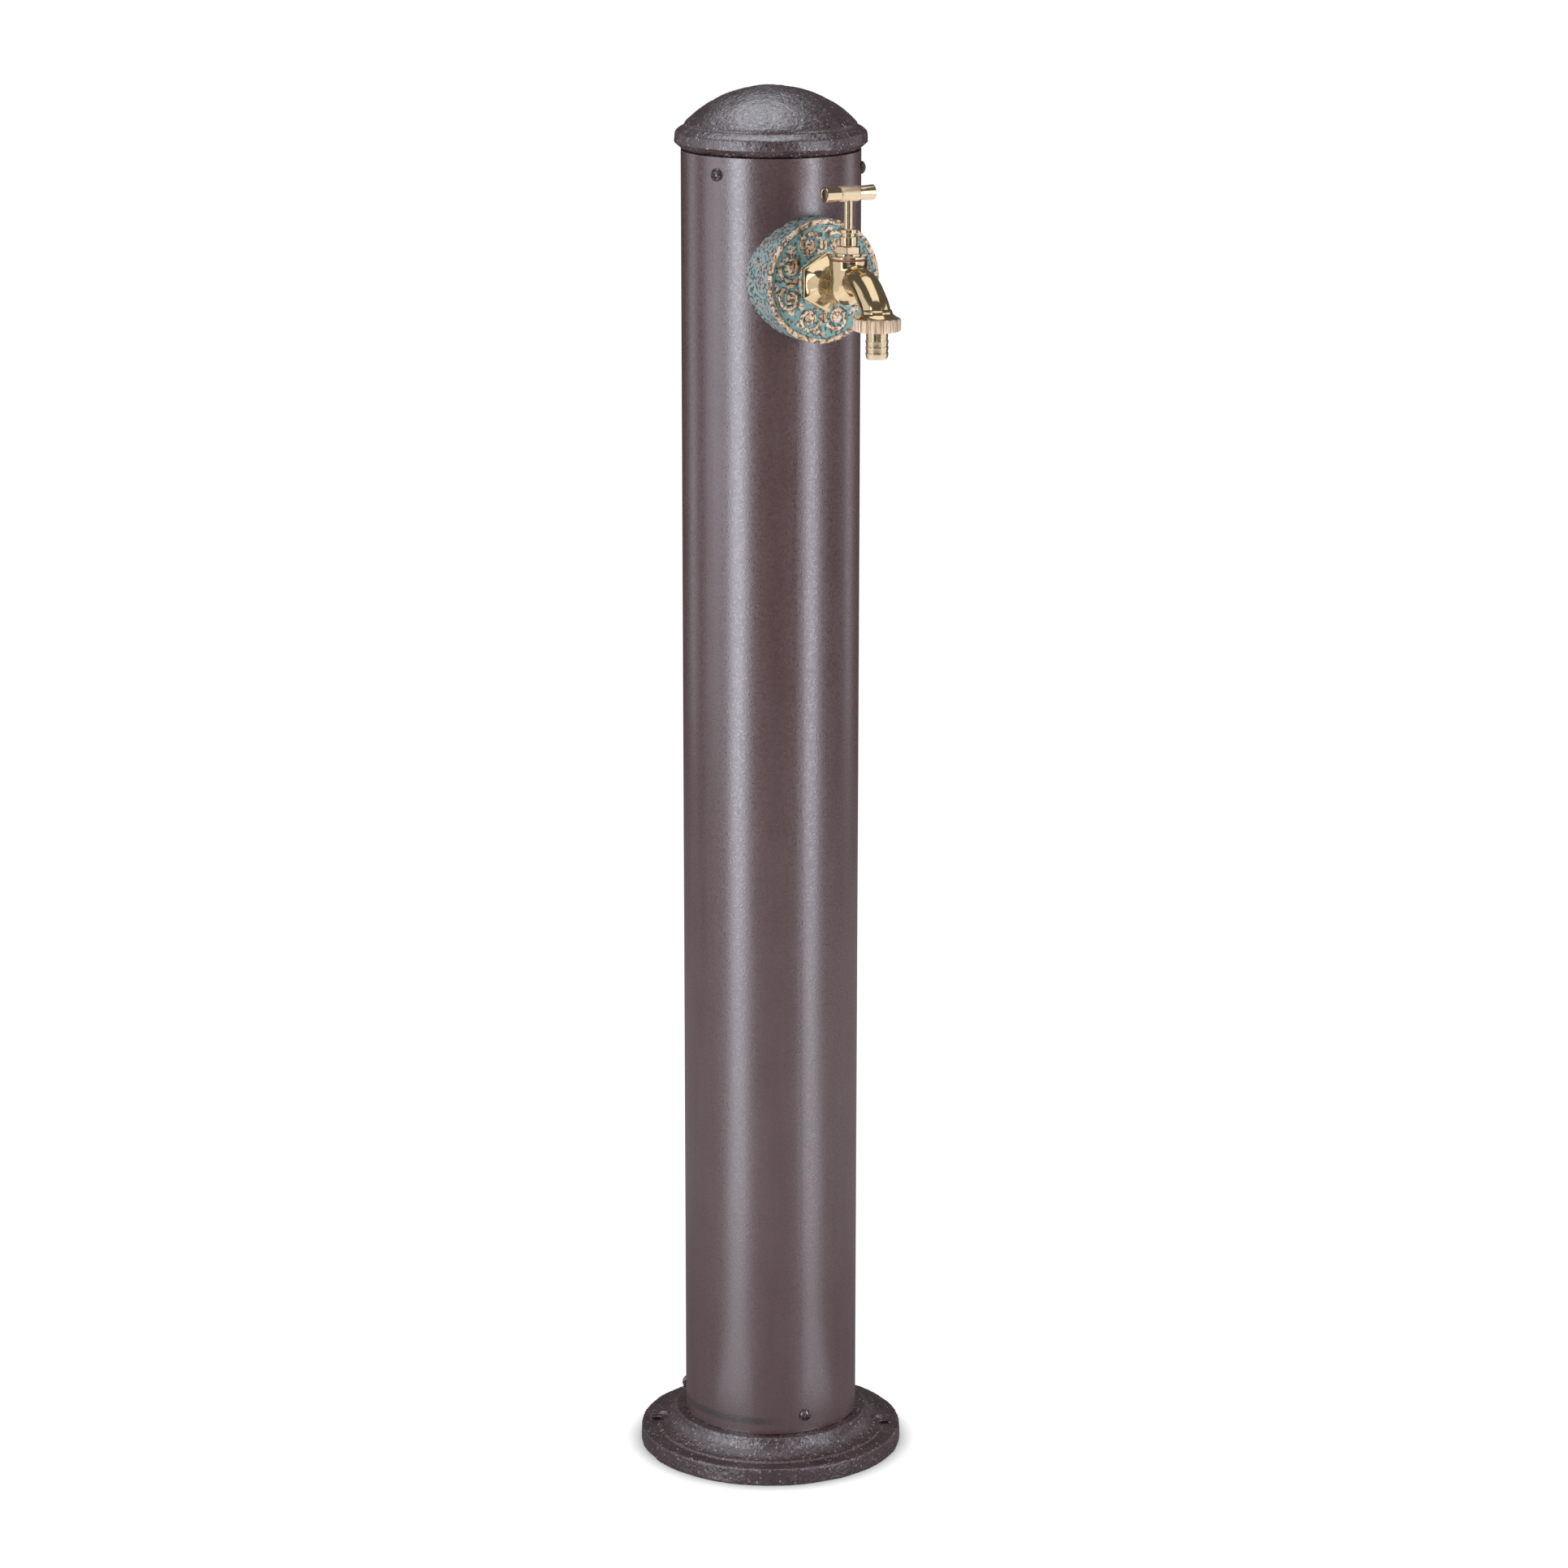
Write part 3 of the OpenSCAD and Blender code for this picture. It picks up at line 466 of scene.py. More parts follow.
def coated_tube(coat):
    """Steel tube under baked powder coat: satin, with mica flakes of uneven gloss that break
    its highlights into grains, faint streaks down its length, and a dark band of painted shade
    just above the foot."""
    material, tree, shader, place = start_material("powder_coated_tube", coat.tube, 0.3)
    flake, gloss, _ = mica_flake(tree, shader, place)
    streak = noise_at(tree, stretched(tree, place, (1.0, 1.0, 0.12)), 9, 1.0)
    shade = calculate(tree, "ADD", streak, noise_at(tree, place, 45, 3.0))
    coloured = mixed(tree, spread(tree, shade, 0.7, 1.3), coat.tube, linear("#513c3b"))
    # Painted shade: a dark band that runs part of the way round, just above the foot
    shade_band_z, shade_band_half, shade_band_fade, reach_fade = low("column_tube").z + 9.0, 1.2, 3.4, 12
    height = put(tree, "ShaderNodeSeparateXYZ", None, {0: place}).outputs["Z"]
    off = calculate(tree, "ABSOLUTE", calculate(tree, "SUBTRACT", height, shade_band_z * MM))
    ring = spread(tree, off, shade_band_half * MM, shade_band_fade * MM, 0.8, 0.0, SMOOTH)
    across = put(tree, "ShaderNodeVectorMath", {"operation": "DOT_PRODUCT"}, {
        0: place, 1: (0.89, -0.456, 0.0)}).outputs["Value"]
    reach = spread(tree, across, -reach_fade * MM, reach_fade * MM, 1.0, 0.0, SMOOTH)
    painted_shade_band = calculate(tree, "MULTIPLY", ring, reach)
    return wired(material, {
        # Painted shade: the band takes the coat's colour towards near black
        "Base Color": mixed(tree, painted_shade_band, coloured, linear("#24201e")),
        "Roughness": spread(tree, gloss, at_start=0.25, at_end=0.37),
        "Normal": relief(tree, flake, 0.05)})


def blackened_screw(coat):
    """Steel screw, blackened and painted over: dark, with worn bright edges in spots."""
    material, tree, _, place = start_material("blackened_screw_steel", coat.screw, 0.22, 0.8)
    wear = noise_at(tree, place, 1.4, 3.0)
    return wired(material, {
        "Base Color": mixed(tree, spread(tree, wear, 0.45, 0.7), coat.screw, linear("#b5a8a8")),
        "Normal": relief(tree, wear, 0.15, 0.8)})


def patinated_bronze(rosette):
    """Cast bronze with a verdigris patina, rubbed back to the metal on its high places:
    satin green in the hollows, chalky and speckled on the side."""
    material, tree, _, place = start_material("patinated_cast_bronze", rosette.teal, 0.4)
    rub, side, deep = (
        put(tree, "ShaderNodeAttribute", {"attribute_name": name}).outputs["Fac"]
        for name in ("rub", "side", "deep"))
    fine = noise_at(tree, place, 0.9, 3.0, 0.65)
    patch = noise_at(tree, place, 7, 4.0, 0.6)
    # Verdigris, from dark to chalky
    chalky = calculate(tree, "MAXIMUM", spread(tree, patch, 0.4, 0.62, 0.0, 0.55), side)
    green = mixed(tree, chalky, rosette.teal, rosette.pale_teal)
    # Warm grey bloom on the side
    bloom = calculate(tree, "MULTIPLY", spread(tree, patch, 0.46, 0.6, 0.0, 0.85), side)
    weathered = mixed(tree, bloom, green, linear("#a5988d"))
    # Metal, pale where both noises are high
    tone = spread(tree, calculate(tree, "ADD", fine, patch), 0.82, 1.08)
    metal = mixed(tree, tone, rosette.copper, rosette.bronze)
    worn = calculate(tree, "MULTIPLY_ADD", fine, 1.1, -0.55)
    bare = spread(tree, calculate(tree, "ADD", rub, worn), 0.4, 0.6)
    skin = mixed(tree, bare, weathered, metal)
    # Dark specks, thicker in the hollows
    speck = noise_at(tree, place, 2.1, 2.0, 0.6)
    exposed = calculate(tree, "MAXIMUM", side, bare)
    speck_level = calculate(tree, "MULTIPLY_ADD", exposed, 0.085, speck)
    dark_specks = spread(tree, calculate(tree, "MULTIPLY_ADD", deep, 0.2, speck_level),
                  0.58, 0.66, 0.0, 0.85)
    clean = calculate(tree, "SUBTRACT", bare, dark_specks, clamp=True)
    return wired(material, {
        "Base Color": mixed(tree, dark_specks, skin, linear("#2b2422")),
        "Metallic": calculate(tree, "MULTIPLY", clean, 0.25),
        "Roughness": spread(tree, side, at_start=0.34, at_end=0.7),
        "Normal": relief(tree, fine, 0.22)})


def polished_brass(brass):
    """Cast brass, polished on a wheel: mirror-like, with the mop's slow waves left in it."""
    material, tree, _, place = start_material("polished_cast_brass", brass.polished, 0.06, 1.0)
    haze = noise_at(tree, place, 4, 4.0)
    return wired(material, {
        "Roughness": spread(tree, haze, 0.4, 0.75, 0.1, 0.18),
        "Normal": relief(tree, noise_at(tree, place, 9, 1.0), 0.25, 0.6)})


def turned_brass(brass, name, roughness, cut, along=2, metallic=1.0):
    """Brass bar turned on a lathe: fine tool lines run round it and spread each highlight
    along the axis. The lines are drawn coarser than the real tenth of a millimetre."""
    material, tree, _, place = start_material(name, brass.turned, roughness, metallic)
    stretch = [0.02, 0.02, 0.02]
    stretch[along] = 1.0
    cuts = noise_at(tree, stretched(tree, place, stretch), 0.45)
    tarnish = noise_at(tree, place, 3, 3.0)
    return wired(material, {
        "Roughness": spread(tree, tarnish, 0.4, 0.7, roughness, roughness + 0.1),
        "Normal": relief(tree, cuts, cut)})


def knurled_brass(brass):
    """Brass with a straight knurl pressed into its rim: the teeth scatter the light, so it
    looks pale and dull beside the polished body, with some teeth brighter than others."""
    material, tree, _, place = start_material("knurled_brass", brass.knurled, 0.36, 0.3)
    teeth = noise_at(tree, stretched(tree, place, (1.0, 1.0, 0.05)), 1.3, 2.0, 0.7)
    return wired(material, {
        "Base Color": mixed(tree, spread(tree, teeth, 0.4, 0.6), linear("#b8946c"), brass.knurled),
        "Normal": relief(tree, teeth, 0.15)})


def plain_material(name, base, second, roughness, metallic, size, depth):
    """A plain finish with a slow change of colour and a shallow grain, for the small and
    inner pieces: machined brass, zinc, rubber, fibre and packing."""
    material, tree, _, place = start_material(name, base, roughness, metallic)
    mottle = noise_at(tree, place, size, 3.0)
    return wired(material, {
        "Base Color": mixed(tree, spread(tree, mottle, 0.35, 0.65), base, second),
        "Normal": relief(tree, mottle, depth)})


def dress(material, *nodes):
    """Gives CAD nodes a material."""
    for name in nodes:
        slots = NODES[name].material_slots
        if not slots:
            NODES[name].data.materials.append(material)
        for slot in slots:
            slot.material = material


# Castings and column

def cap_profile():
    """Closed profile of the cap: spigot, chamfered rim, slope and dome."""
    apex = high("cap").z
    bottom = low("cap").z
    rim = high("cap").x
    top = COLUMN_TOP
    spigot = COLUMN_R - 3.3
    inside = spigot - 4.3
    step, step_z = COLUMN_R - 0.6, top + 0.9
    foot = COLUMN_R - 1.6
    foot_z = top + 15.0
    rise = apex - foot_z
    ball = (foot ** 2 + rise ** 2) / (2 * rise)
    centre = apex - ball
    wall, fuller = 5.0, 0.75
    lower = rounded([
        (inside, bottom, 0.5), (spigot, bottom, 0.5), (spigot, top, 0),
        (spigot + 0.6, step_z, 0), (step, step_z, 0.5),
        (rim, top + 5.0, 0.9), (rim - 0.4, top + 11.4, 2.6), (foot + 2.2, top + 13.6, 1.0),
        (foot - 0.1, top + 14.7, 0.8), (foot - 0.9, foot_z + 1.0, 0)])
    dome = []
    for z in apex - (apex - foot_z - 1.1) * np.linspace(1, 0.006, 90) ** 1.6:
        share = (z - foot_z) / rise
        bulge = fuller * window(share, 0, 0.12) * (1 - share) ** 0.6
        dome.append((math.sqrt(ball ** 2 - (z - centre) ** 2) + bulge, z))
    inner_r = ball - wall
    inner_start = math.acos(inside / inner_r)
    hollow = [(inner_r * math.cos(a), centre + inner_r * math.sin(a))
              for a in np.linspace(math.pi / 2 - 0.012, inner_start, 40)]
    return lower + dome + hollow


class STANDPIPE_OT_castings(bpy.types.Operator):
    """Makes the cast cap and foot, with the skin that a sand mould leaves"""

    bl_idname = "standpipe.castings"
    bl_label = "Castings"

    def execute(self, context):
        coat = context.scene.standpipe_coat
        material = coated_casting(coat)
        points, faces = turned(refined(cap_profile(), 0.9), 420)
        points = cast_skin(points, faces, coat, 3)
        add_piece("cap_casting", points, faces, material, "standpipe", ["cap"])
        self.add_foot(coat, material)
        return {"FINISHED"}

    def add_foot(self, coat, material):
        """The foot is a copy of the CAD solid, remeshed so that its edges round off."""
        copy = in_scene("foot_copy", NODES["base_flange"].data.copy())
        remesh = copy.modifiers.new("even", "REMESH")
        remesh.mode = "VOXEL"
        remesh.voxel_size = 0.6 * MM
        ease = copy.modifiers.new("ease", "SMOOTH")
        ease.iterations = 1
        ease.factor = 0.5
        graph = bpy.context.evaluated_depsgraph_get()
        mesh = bpy.data.meshes.new_from_object(copy.evaluated_get(graph))
        bpy.data.objects.remove(copy)
        points = np.zeros(len(mesh.vertices) * 3)
        mesh.vertices.foreach_get("co", points)
        points = points.reshape(-1, 3) / MM
        faces = [list(face.vertices) for face in mesh.polygons]
        bpy.data.meshes.remove(mesh)
        points = cast_skin(points, faces, coat, 8)
        points = np.clip(points, low("base_flange"), high("base_flange"))
        add_piece("foot_casting", points, faces, material, "standpipe",
                  ["base_flange"])


class STANDPIPE_OT_column(bpy.types.Operator):
    """Coats the column tube"""

    bl_idname = "standpipe.column"
    bl_label = "Column"

    def execute(self, context):
        dress(coated_tube(context.scene.standpipe_coat), "column_tube")
        return {"FINISHED"}


class STANDPIPE_OT_screws(bpy.types.Operator):
    """Blackens the screws"""

    bl_idname = "standpipe.screws"
    bl_label = "Screws"

    def execute(self, context):
        dress(blackened_screw(context.scene.standpipe_coat), "cap_screws", "base_screws")
        return {"FINISHED"}


# Rosette

def dome_shape(distance, radius):
    """Height of a half ball over a plane, as a share of its radius."""
    return np.sqrt(np.clip(1 - (distance / radius) ** 2, 0, None))


def rosette_face(radius, angle, rosette):
    """Height over the field, in millimetres, and how rubbed the rosette is at polar places."""
    quarter = np.pi / 2
    fold = np.abs((angle + quarter / 2) % quarter - quarter / 2)
    orbit = rosette.orbit_share * ROSETTE_R
    half = quarter / 4
    x, y = radius * np.cos(fold), radius * np.sin(fold)
    dx, dy = x - orbit * math.cos(half), y - orbit * math.sin(half)
    towards = dx * math.sin(half) - dy * math.cos(half)
    outwards = dx * math.cos(half) + dy * math.sin(half)
    reach = np.hypot(dx, dy)
    turn = np.arctan2(outwards, towards) / (2 * np.pi)
    turn = np.where(turn < -0.12, turn + 1, turn)
    pitch, edge, eye = rosette.pitch / MM, rosette.volute / MM, rosette.eye / MM
    phase = (edge - reach) / pitch - turn
    band = phase % 1.0
    within = window(phase, -0.02, 0.02) * window(reach, eye * 0.9, eye * 1.08)

    height = 0.3 + 0 * radius
    patches = np.sin(9 * angle + 0.31 * radius) * np.sin(0.55 * radius - 5 * angle)
    rub = 0.12 + 0.5 * window(patches, -0.1, 0.45)
    gold = 0.54
    ridge = np.where(band < gold, np.sin(np.pi * np.clip(band / gold, 0, 1)), 0)
    trough = np.where(band >= gold, (2 * (band - gold) / (1 - gold) - 1) ** 2, 0)
    scroll = np.where(band < gold, 0.8 + 0.7 * ridge ** 0.5, 0.25 + 0.7 * trough ** 2)
    height = height * (1 - within) + scroll * within
    rub = rub * (1 - within) + np.where(band < gold, 0.25 + 0.6 * ridge ** 0.25, 0.0) * within
    lip = window(phase, -0.2, -0.1) * (1 - window(phase, -0.1, 0.0))
    height += 0.7 * lip * window(reach, eye, eye + 1)
    knob = dome_shape(reach, eye * 1.1)
    height = np.maximum(height, 0.35 + 1.35 * knob)
    rub = np.maximum(rub, 0.75 * window(knob, 0.2, 0.6))

    # Beads by the rim on each axis and diagonal, knobs inside them on the axes
    bead_orbit = 0.845 * ROSETTE_R
    for place_x, place_y, size, worn in (
            (bead_orbit, 0, 1.5, 0.7),
            (bead_orbit * math.cos(2 * half), bead_orbit * math.sin(2 * half), 1.5, 0.7),
            (0.69 * ROSETTE_R, 0, 2.0, 0.1)):
        bead = dome_shape(np.hypot(x - place_x, y - place_y), size)
        height = np.maximum(height, 0.3 + 1.3 * bead)
        rub = np.where(bead > 0.3, worn, rub)
    # Leaf between bead and knob
    leaf = window(0.9 - np.abs(y) / np.clip((x - 26) * 0.35, 0.01, None), 0, 0.6)
    leaf *= window(x, 28, 29) * (1 - window(x, 31, 32.5))
    height = np.maximum(height, 0.3 + 0.8 * leaf)
    # Hub under the tap's flange
    hub = 1 - window(radius, 16.6, 17.8)
    height = np.maximum(height, 2.0 * hub)
    rub = np.maximum(rub, 0.5 * hub)
    # Teal moulding, groove and bead of the rim
    moulding_start, moulding_r, groove_r, crest_r = 33.9, 34.6, 35.45, 37.4
    moulding = 0.7 * dome_shape(radius - moulding_r, 0.8)
    fading = height * (1 - window(radius, moulding_start, moulding_start + 0.3))
    height = np.where(radius > moulding_start, np.maximum(fading, moulding), height)
    rub = np.where(radius > moulding_start - 0.1, 0.2, rub)
    crest = dome_shape(radius - crest_r, 1.95)
    gouge = 0.16 * np.sin(52 * angle + 1.9 * radius) + 0.1 * np.sin(31 * angle - 2.3 * radius)
    bead = np.clip(0.1 + (1.85 + gouge) * crest, 0.1, 2.0)
    height = np.where(radius > groove_r, bead, height)
    rub = np.where(radius > groove_r + 0.15, 0.35 + 0.45 * crest + 0.8 * gouge, rub)
    return height, rub


class STANDPIPE_OT_rosette(bpy.types.Operator):
    """Makes the cast rosette with its volutes"""

    bl_idname = "standpipe.rosette"
    bl_label = "Rosette"

    def execute(self, context):
        rosette = context.scene.standpipe_rosette
        field_u = FACE_U - 2.0
        columns, face_rows, side_rows, back_rows = 900, 112, 44, 4
        bore = 13.6
        angle = np.linspace(0, 2 * np.pi, columns, endpoint=False)[None, :]
        radius = np.linspace(bore, ROSETTE_R - 0.03, face_rows)[:, None]
        radius, turn = np.broadcast_arrays(radius, angle)
        height, rub = rosette_face(radius, turn, rosette)
        outward = field_u + height

        # The side runs from the rim back to the column, and the back closes the solid
        play = 0.1
        saddle = np.sqrt(COLUMN_R ** 2 - (ROSETTE_R * np.sin(angle)) ** 2) + play
        share = np.linspace(0, 1, side_rows)[:, None]
        side_u = (outward[-1:] - 0.25) * (1 - share) + saddle * share
        side_r = ROSETTE_R + 0 * side_u
        back_r = np.linspace(ROSETTE_R, bore, back_rows + 1)[1:, None] + 0 * angle
        back_u = np.sqrt(COLUMN_R ** 2 - (back_r * np.sin(angle)) ** 2) + play

        r = np.concatenate([radius, side_r, back_r])
        u = np.concatenate([outward, side_u, back_u])
        a = np.broadcast_to(angle, r.shape)
        points = np.stack([r * np.sin(a), -u, AXIS_Z + r * np.cos(a)], -1).reshape(-1, 3)
        rows = len(r)
        faces = quads(rows, columns, closed=True)
        faces = [face[::-1] for face in faces] if self.inside_out(points, faces) else faces

        rubbed, sideways, deep = (np.zeros((rows, columns)) for _ in range(3))
        rubbed[:face_rows] = rub
        sideways[face_rows:face_rows + side_rows] = 1
        # How far each place lies below its blurred neighbours; the material thickens its dark
        # specks there
        blurred = outward.copy()
        for shift in (3, 6):
            blurred = (np.roll(blurred, shift, 1) + np.roll(blurred, -shift, 1) + 2 * blurred) / 4
            padded = np.pad(blurred, ((shift // 3, shift // 3), (0, 0)), "edge")
            gap = 2 * (shift // 3)
            blurred = (padded[gap:] + padded[:-gap] + 2 * blurred) / 4
        deep[:face_rows] = np.clip((blurred - outward) * 2.2, 0, 1)

        normals = point_normals(points, faces)
        rough = 0.16 * grain(points, 2.2, 5, 2) - 0.1
        rough_side = 0.5 * grain(points, 4.0, 6, 3) - 0.35
        depth = np.where(sideways.reshape(-1) > 0, rough_side, rough)
        fixed = np.zeros((rows, columns), bool)
        fixed[0] = fixed[face_rows + side_rows - 1:] = True
        depth[fixed.reshape(-1)] = 0
        points = points + normals * np.minimum(depth, 0)[:, None]

        piece = add_piece("rosette_casting", points, faces, patinated_bronze(rosette),
                          "standpipe", ["rosette"])
        for name, values in (("rub", rubbed), ("side", sideways), ("deep", deep)):
            attribute = piece.data.attributes.new(name, "FLOAT", "POINT")
            attribute.data.foreach_set("value", values.reshape(-1).astype(np.float32))
        return {"FINISHED"}

    def inside_out(self, points, faces):
        """True if the face in the middle of the rosette's face points at the column."""
        a, b, c = (points[i] for i in faces[len(faces) // 3][:3])
        return np.cross(b - a, c - a)[1] > 0


# Tap

def line_distance(u, z, start, end):
    """Distance in the tap's middle plane from a straight stretch."""
    (au, az), (bu, bz) = start, end
    du, dz = bu - au, bz - az
    t = np.clip(((u - au) * du + (z - az) * dz) / (du * du + dz * dz), 0, 1)
    return np.hypot(u - au - t * du, z - az - t * dz)


def arc_distance(u, z, centre, radius, first, last):
    """Distance in the tap's middle plane from an arc. Angles count from the top, outwards."""
    du, dz = u - centre[0], z - centre[1]
    angle = np.clip(np.arctan2(du, dz), first, last)
    return np.hypot(du - radius * np.sin(angle), dz - radius * np.cos(angle))


def spout_distance(u, z):
    """Distance in the tap's middle plane from the spout's centreline."""
    bend, end_bend, slant = 20.0, 16.0, math.radians(45)
    crown = AXIS_Z + 5.6
    drop = crown - OUTLET_END_Z
    run = (drop - bend * (1 - math.cos(slant)) - end_bend * math.cos(slant)) / math.sin(slant)
    start = (OUTLET_U - bend * math.sin(slant) - run * math.cos(slant)
             - end_bend * (1 - math.sin(slant)))
    knee = (start + bend * math.sin(slant), crown - bend * (1 - math.cos(slant)))
    ankle = (knee[0] + run * math.cos(slant), knee[1] - run * math.sin(slant))
    centre = (ankle[0] - end_bend * math.sin(slant), ankle[1] - end_bend * math.cos(slant))
    pieces = (
        line_distance(u, z, (SPINDLE_U, crown), (start, crown)),
        arc_distance(u, z, (start, crown - bend), bend, 0, slant),
        line_distance(u, z, knee, ankle),
        arc_distance(u, z, centre, end_bend, slant, math.pi / 2))
    return np.minimum.reduce(np.broadcast_arrays(*pieces))


def tap_distance(brass):
    """Distance function of the tap body, from x, u and z in millimetres."""
    spout_r, bowl_r, neck_r, blend = (
        value / MM for value in (brass.spout, brass.bowl, brass.neck, brass.blend))
    flats, plate, edge = 31.5, 3.0, 0.9
    flare_r, flare_l = 15.7, 12.5
    thread_r, outlet_r, outlet_bore = 10.48, 13.2, 8.0
    cup_r, bowl_z = 11.9, AXIS_Z + 0.5
    spout_bore, chamber_r, seat_r, sump_r = 6.2, 9.0, 5.0, 5.3
    sump_z = SEAT_Z - 3.0 - sump_r
    cup_thread_r, cup_thread_l = 9.25, 6.5
    inlet_r, inlet_sink, tail_bore_r = 4.8, 3.0, 7.5
    collar = 4.6

    def distance(x, u, z):
        dz = z - AXIS_Z
        axis_r = np.sqrt(x * x + dz * dz)
        # Wall flange, a hexagon with its corners up and down
        hexagon = np.maximum(np.abs(x), np.abs(x) / 2 + np.abs(dz) * math.sqrt(3) / 2)
        q = hexagon - (flats / 2 - edge)
        w = np.abs(u - FACE_U - plate / 2) - (plate / 2 - edge)
        flange = (np.hypot(np.maximum(q, 0), np.maximum(w, 0))
                  + np.minimum(np.maximum(q, w), 0) - edge)
        # Bell that runs from the flange into the neck
        t = np.clip((u - FACE_U - plate) / flare_l, 0, 1)
        bell_r = neck_r + (flare_r - neck_r) * (1 - t) ** 1.8
        section = hexagon + (axis_r - hexagon) * np.clip(1.7 * t, 0, 1)
        bell = np.maximum((section - bell_r) * 0.85, np.maximum(FACE_U + 1 - u, u - SPINDLE_U))
        thread = np.maximum(axis_r - thread_r, np.maximum(THREAD_END_U - u, u - FACE_U - 1))
        # Bowl with its cup
        du = u - SPINDLE_U
        stem_r = np.sqrt(x * x + du * du)
        lift = np.clip((z - bowl_z) / (CUP_Z - bowl_z), 0, 1)
        wall = stem_r - (bowl_r + (cup_r - bowl_r) * lift)
        ball = np.sqrt(stem_r ** 2 + (z - bowl_z) ** 2) - bowl_r
        cup = np.where(z > bowl_z, wall, ball)
        over = z - CUP_Z
        rim = 0.4
        cup = np.minimum(np.maximum(cup + rim, over + rim), 0) + np.hypot(
            np.maximum(cup + rim, 0), np.maximum(over + rim, 0)) - rim
        # Spout, with a collar that flares out to the thread
        centre = spout_distance(u, z)
        rise = np.clip((z - NUT_TOP - 0.3) / collar, 0, 1)
        rod = np.sqrt(x * x + centre * centre) - spout_r
        dw = u - OUTLET_U
        outlet_d = np.sqrt(x * x + dw * dw)
        flare = spout_r + (outlet_r - spout_r) * (1 - rise) ** 2.2
        skirt = np.maximum((outlet_d - flare) * 0.75,
                           np.maximum(OUTLET_END_Z - z, z - NUT_TOP - collar))
        shape = smooth_min(flange, bell, 1.2)
        shape = smooth_min(shape, cup, blend)
        shape = smooth_min(shape, np.maximum(rod, OUTLET_END_Z - z), blend * 0.8)
        shape = smooth_min(shape, skirt, 1.6)
        shape = np.maximum(shape, OUTLET_END_Z - z + 0 * x - 60 * (u < OUTLET_U - 20))
        shape = np.minimum(shape, thread)
        mouth = np.maximum(outlet_d - outlet_bore, z - NUT_TOP)
        bore = np.maximum(np.sqrt(x * x + centre * centre) - spout_bore,
                          SPINDLE_U + chamber_r - 1 - u)
        chamber = np.maximum(stem_r - chamber_r, SEAT_Z - z)
        screwed = np.maximum(stem_r - cup_thread_r, CUP_Z - cup_thread_l - z)
        throat = np.maximum(stem_r - seat_r, sump_z - z)
        sump = np.sqrt(stem_r ** 2 + (z - sump_z) ** 2) - sump_r
        inlet = np.maximum(np.sqrt(x * x + (dz + inlet_sink) ** 2) - inlet_r, u - SPINDLE_U)
        tail = np.maximum(axis_r - tail_bore_r, u - FACE_U - 1)
        rooms = np.minimum.reduce(np.broadcast_arrays(
            mouth, bore, chamber, screwed, throat, sump, np.maximum(inlet, FACE_U - u), tail))
        return np.maximum(shape, -rooms)

    return distance


class STANDPIPE_OT_tap(bpy.types.Operator):
    """Makes the polished tap body, whose forms run together"""

    bl_idname = "standpipe.tap"
    bl_label = "Tap body"

    def execute(self, context):
        brass = context.scene.standpipe_brass
        margin = 1.0
        side = high("tap_body").x + margin
        points, faces = isosurface(
            tap_distance(brass),
            (-side, THREAD_END_U - margin, low("tap_body").z - margin),
            (side, -low("tap_body").y + margin, high("tap_body").z + margin), 0.36)
        points[:, 1] *= -1
        faces = [face[::-1] for face in faces]
        add_piece("tap_body_polished", points, faces, polished_brass(brass),
                  "standpipe", ["tap_body"], sharp=50)
        return {"FINISHED"}


def hexagon_nut(flats, bottom, top, turn, chamfer, bore, steps=192):
    """A hexagonal ring with lathe-cut chamfers."""
    angle = np.linspace(0, 2 * np.pi, steps, endpoint=False)
    sides = np.array([np.clip(np.cos(angle - turn - math.pi / 6 - k * math.pi / 3), 0, None)
                      for k in range(6)])
    edge = flats / 2 / (sides ** 70).sum(0) ** (1 / 70)
    inner = np.full(steps, flats / 2 * 0.97)
    drop = np.clip(edge - inner, 0, None) * math.tan(math.radians(30)) * chamfer
    hole = np.full(steps, bore)
    rings = [(hole, bottom + 0 * drop), (inner, bottom + 0 * drop), (edge, bottom + drop * 0.3),
             (edge, top - drop), (inner, top + 0 * drop), (hole, top + 0 * drop)]
    points = np.concatenate([
        np.stack([r * np.cos(angle), r * np.sin(angle), z], -1) for r, z in rings])
    return points, quads(len(rings), steps, closed=True)


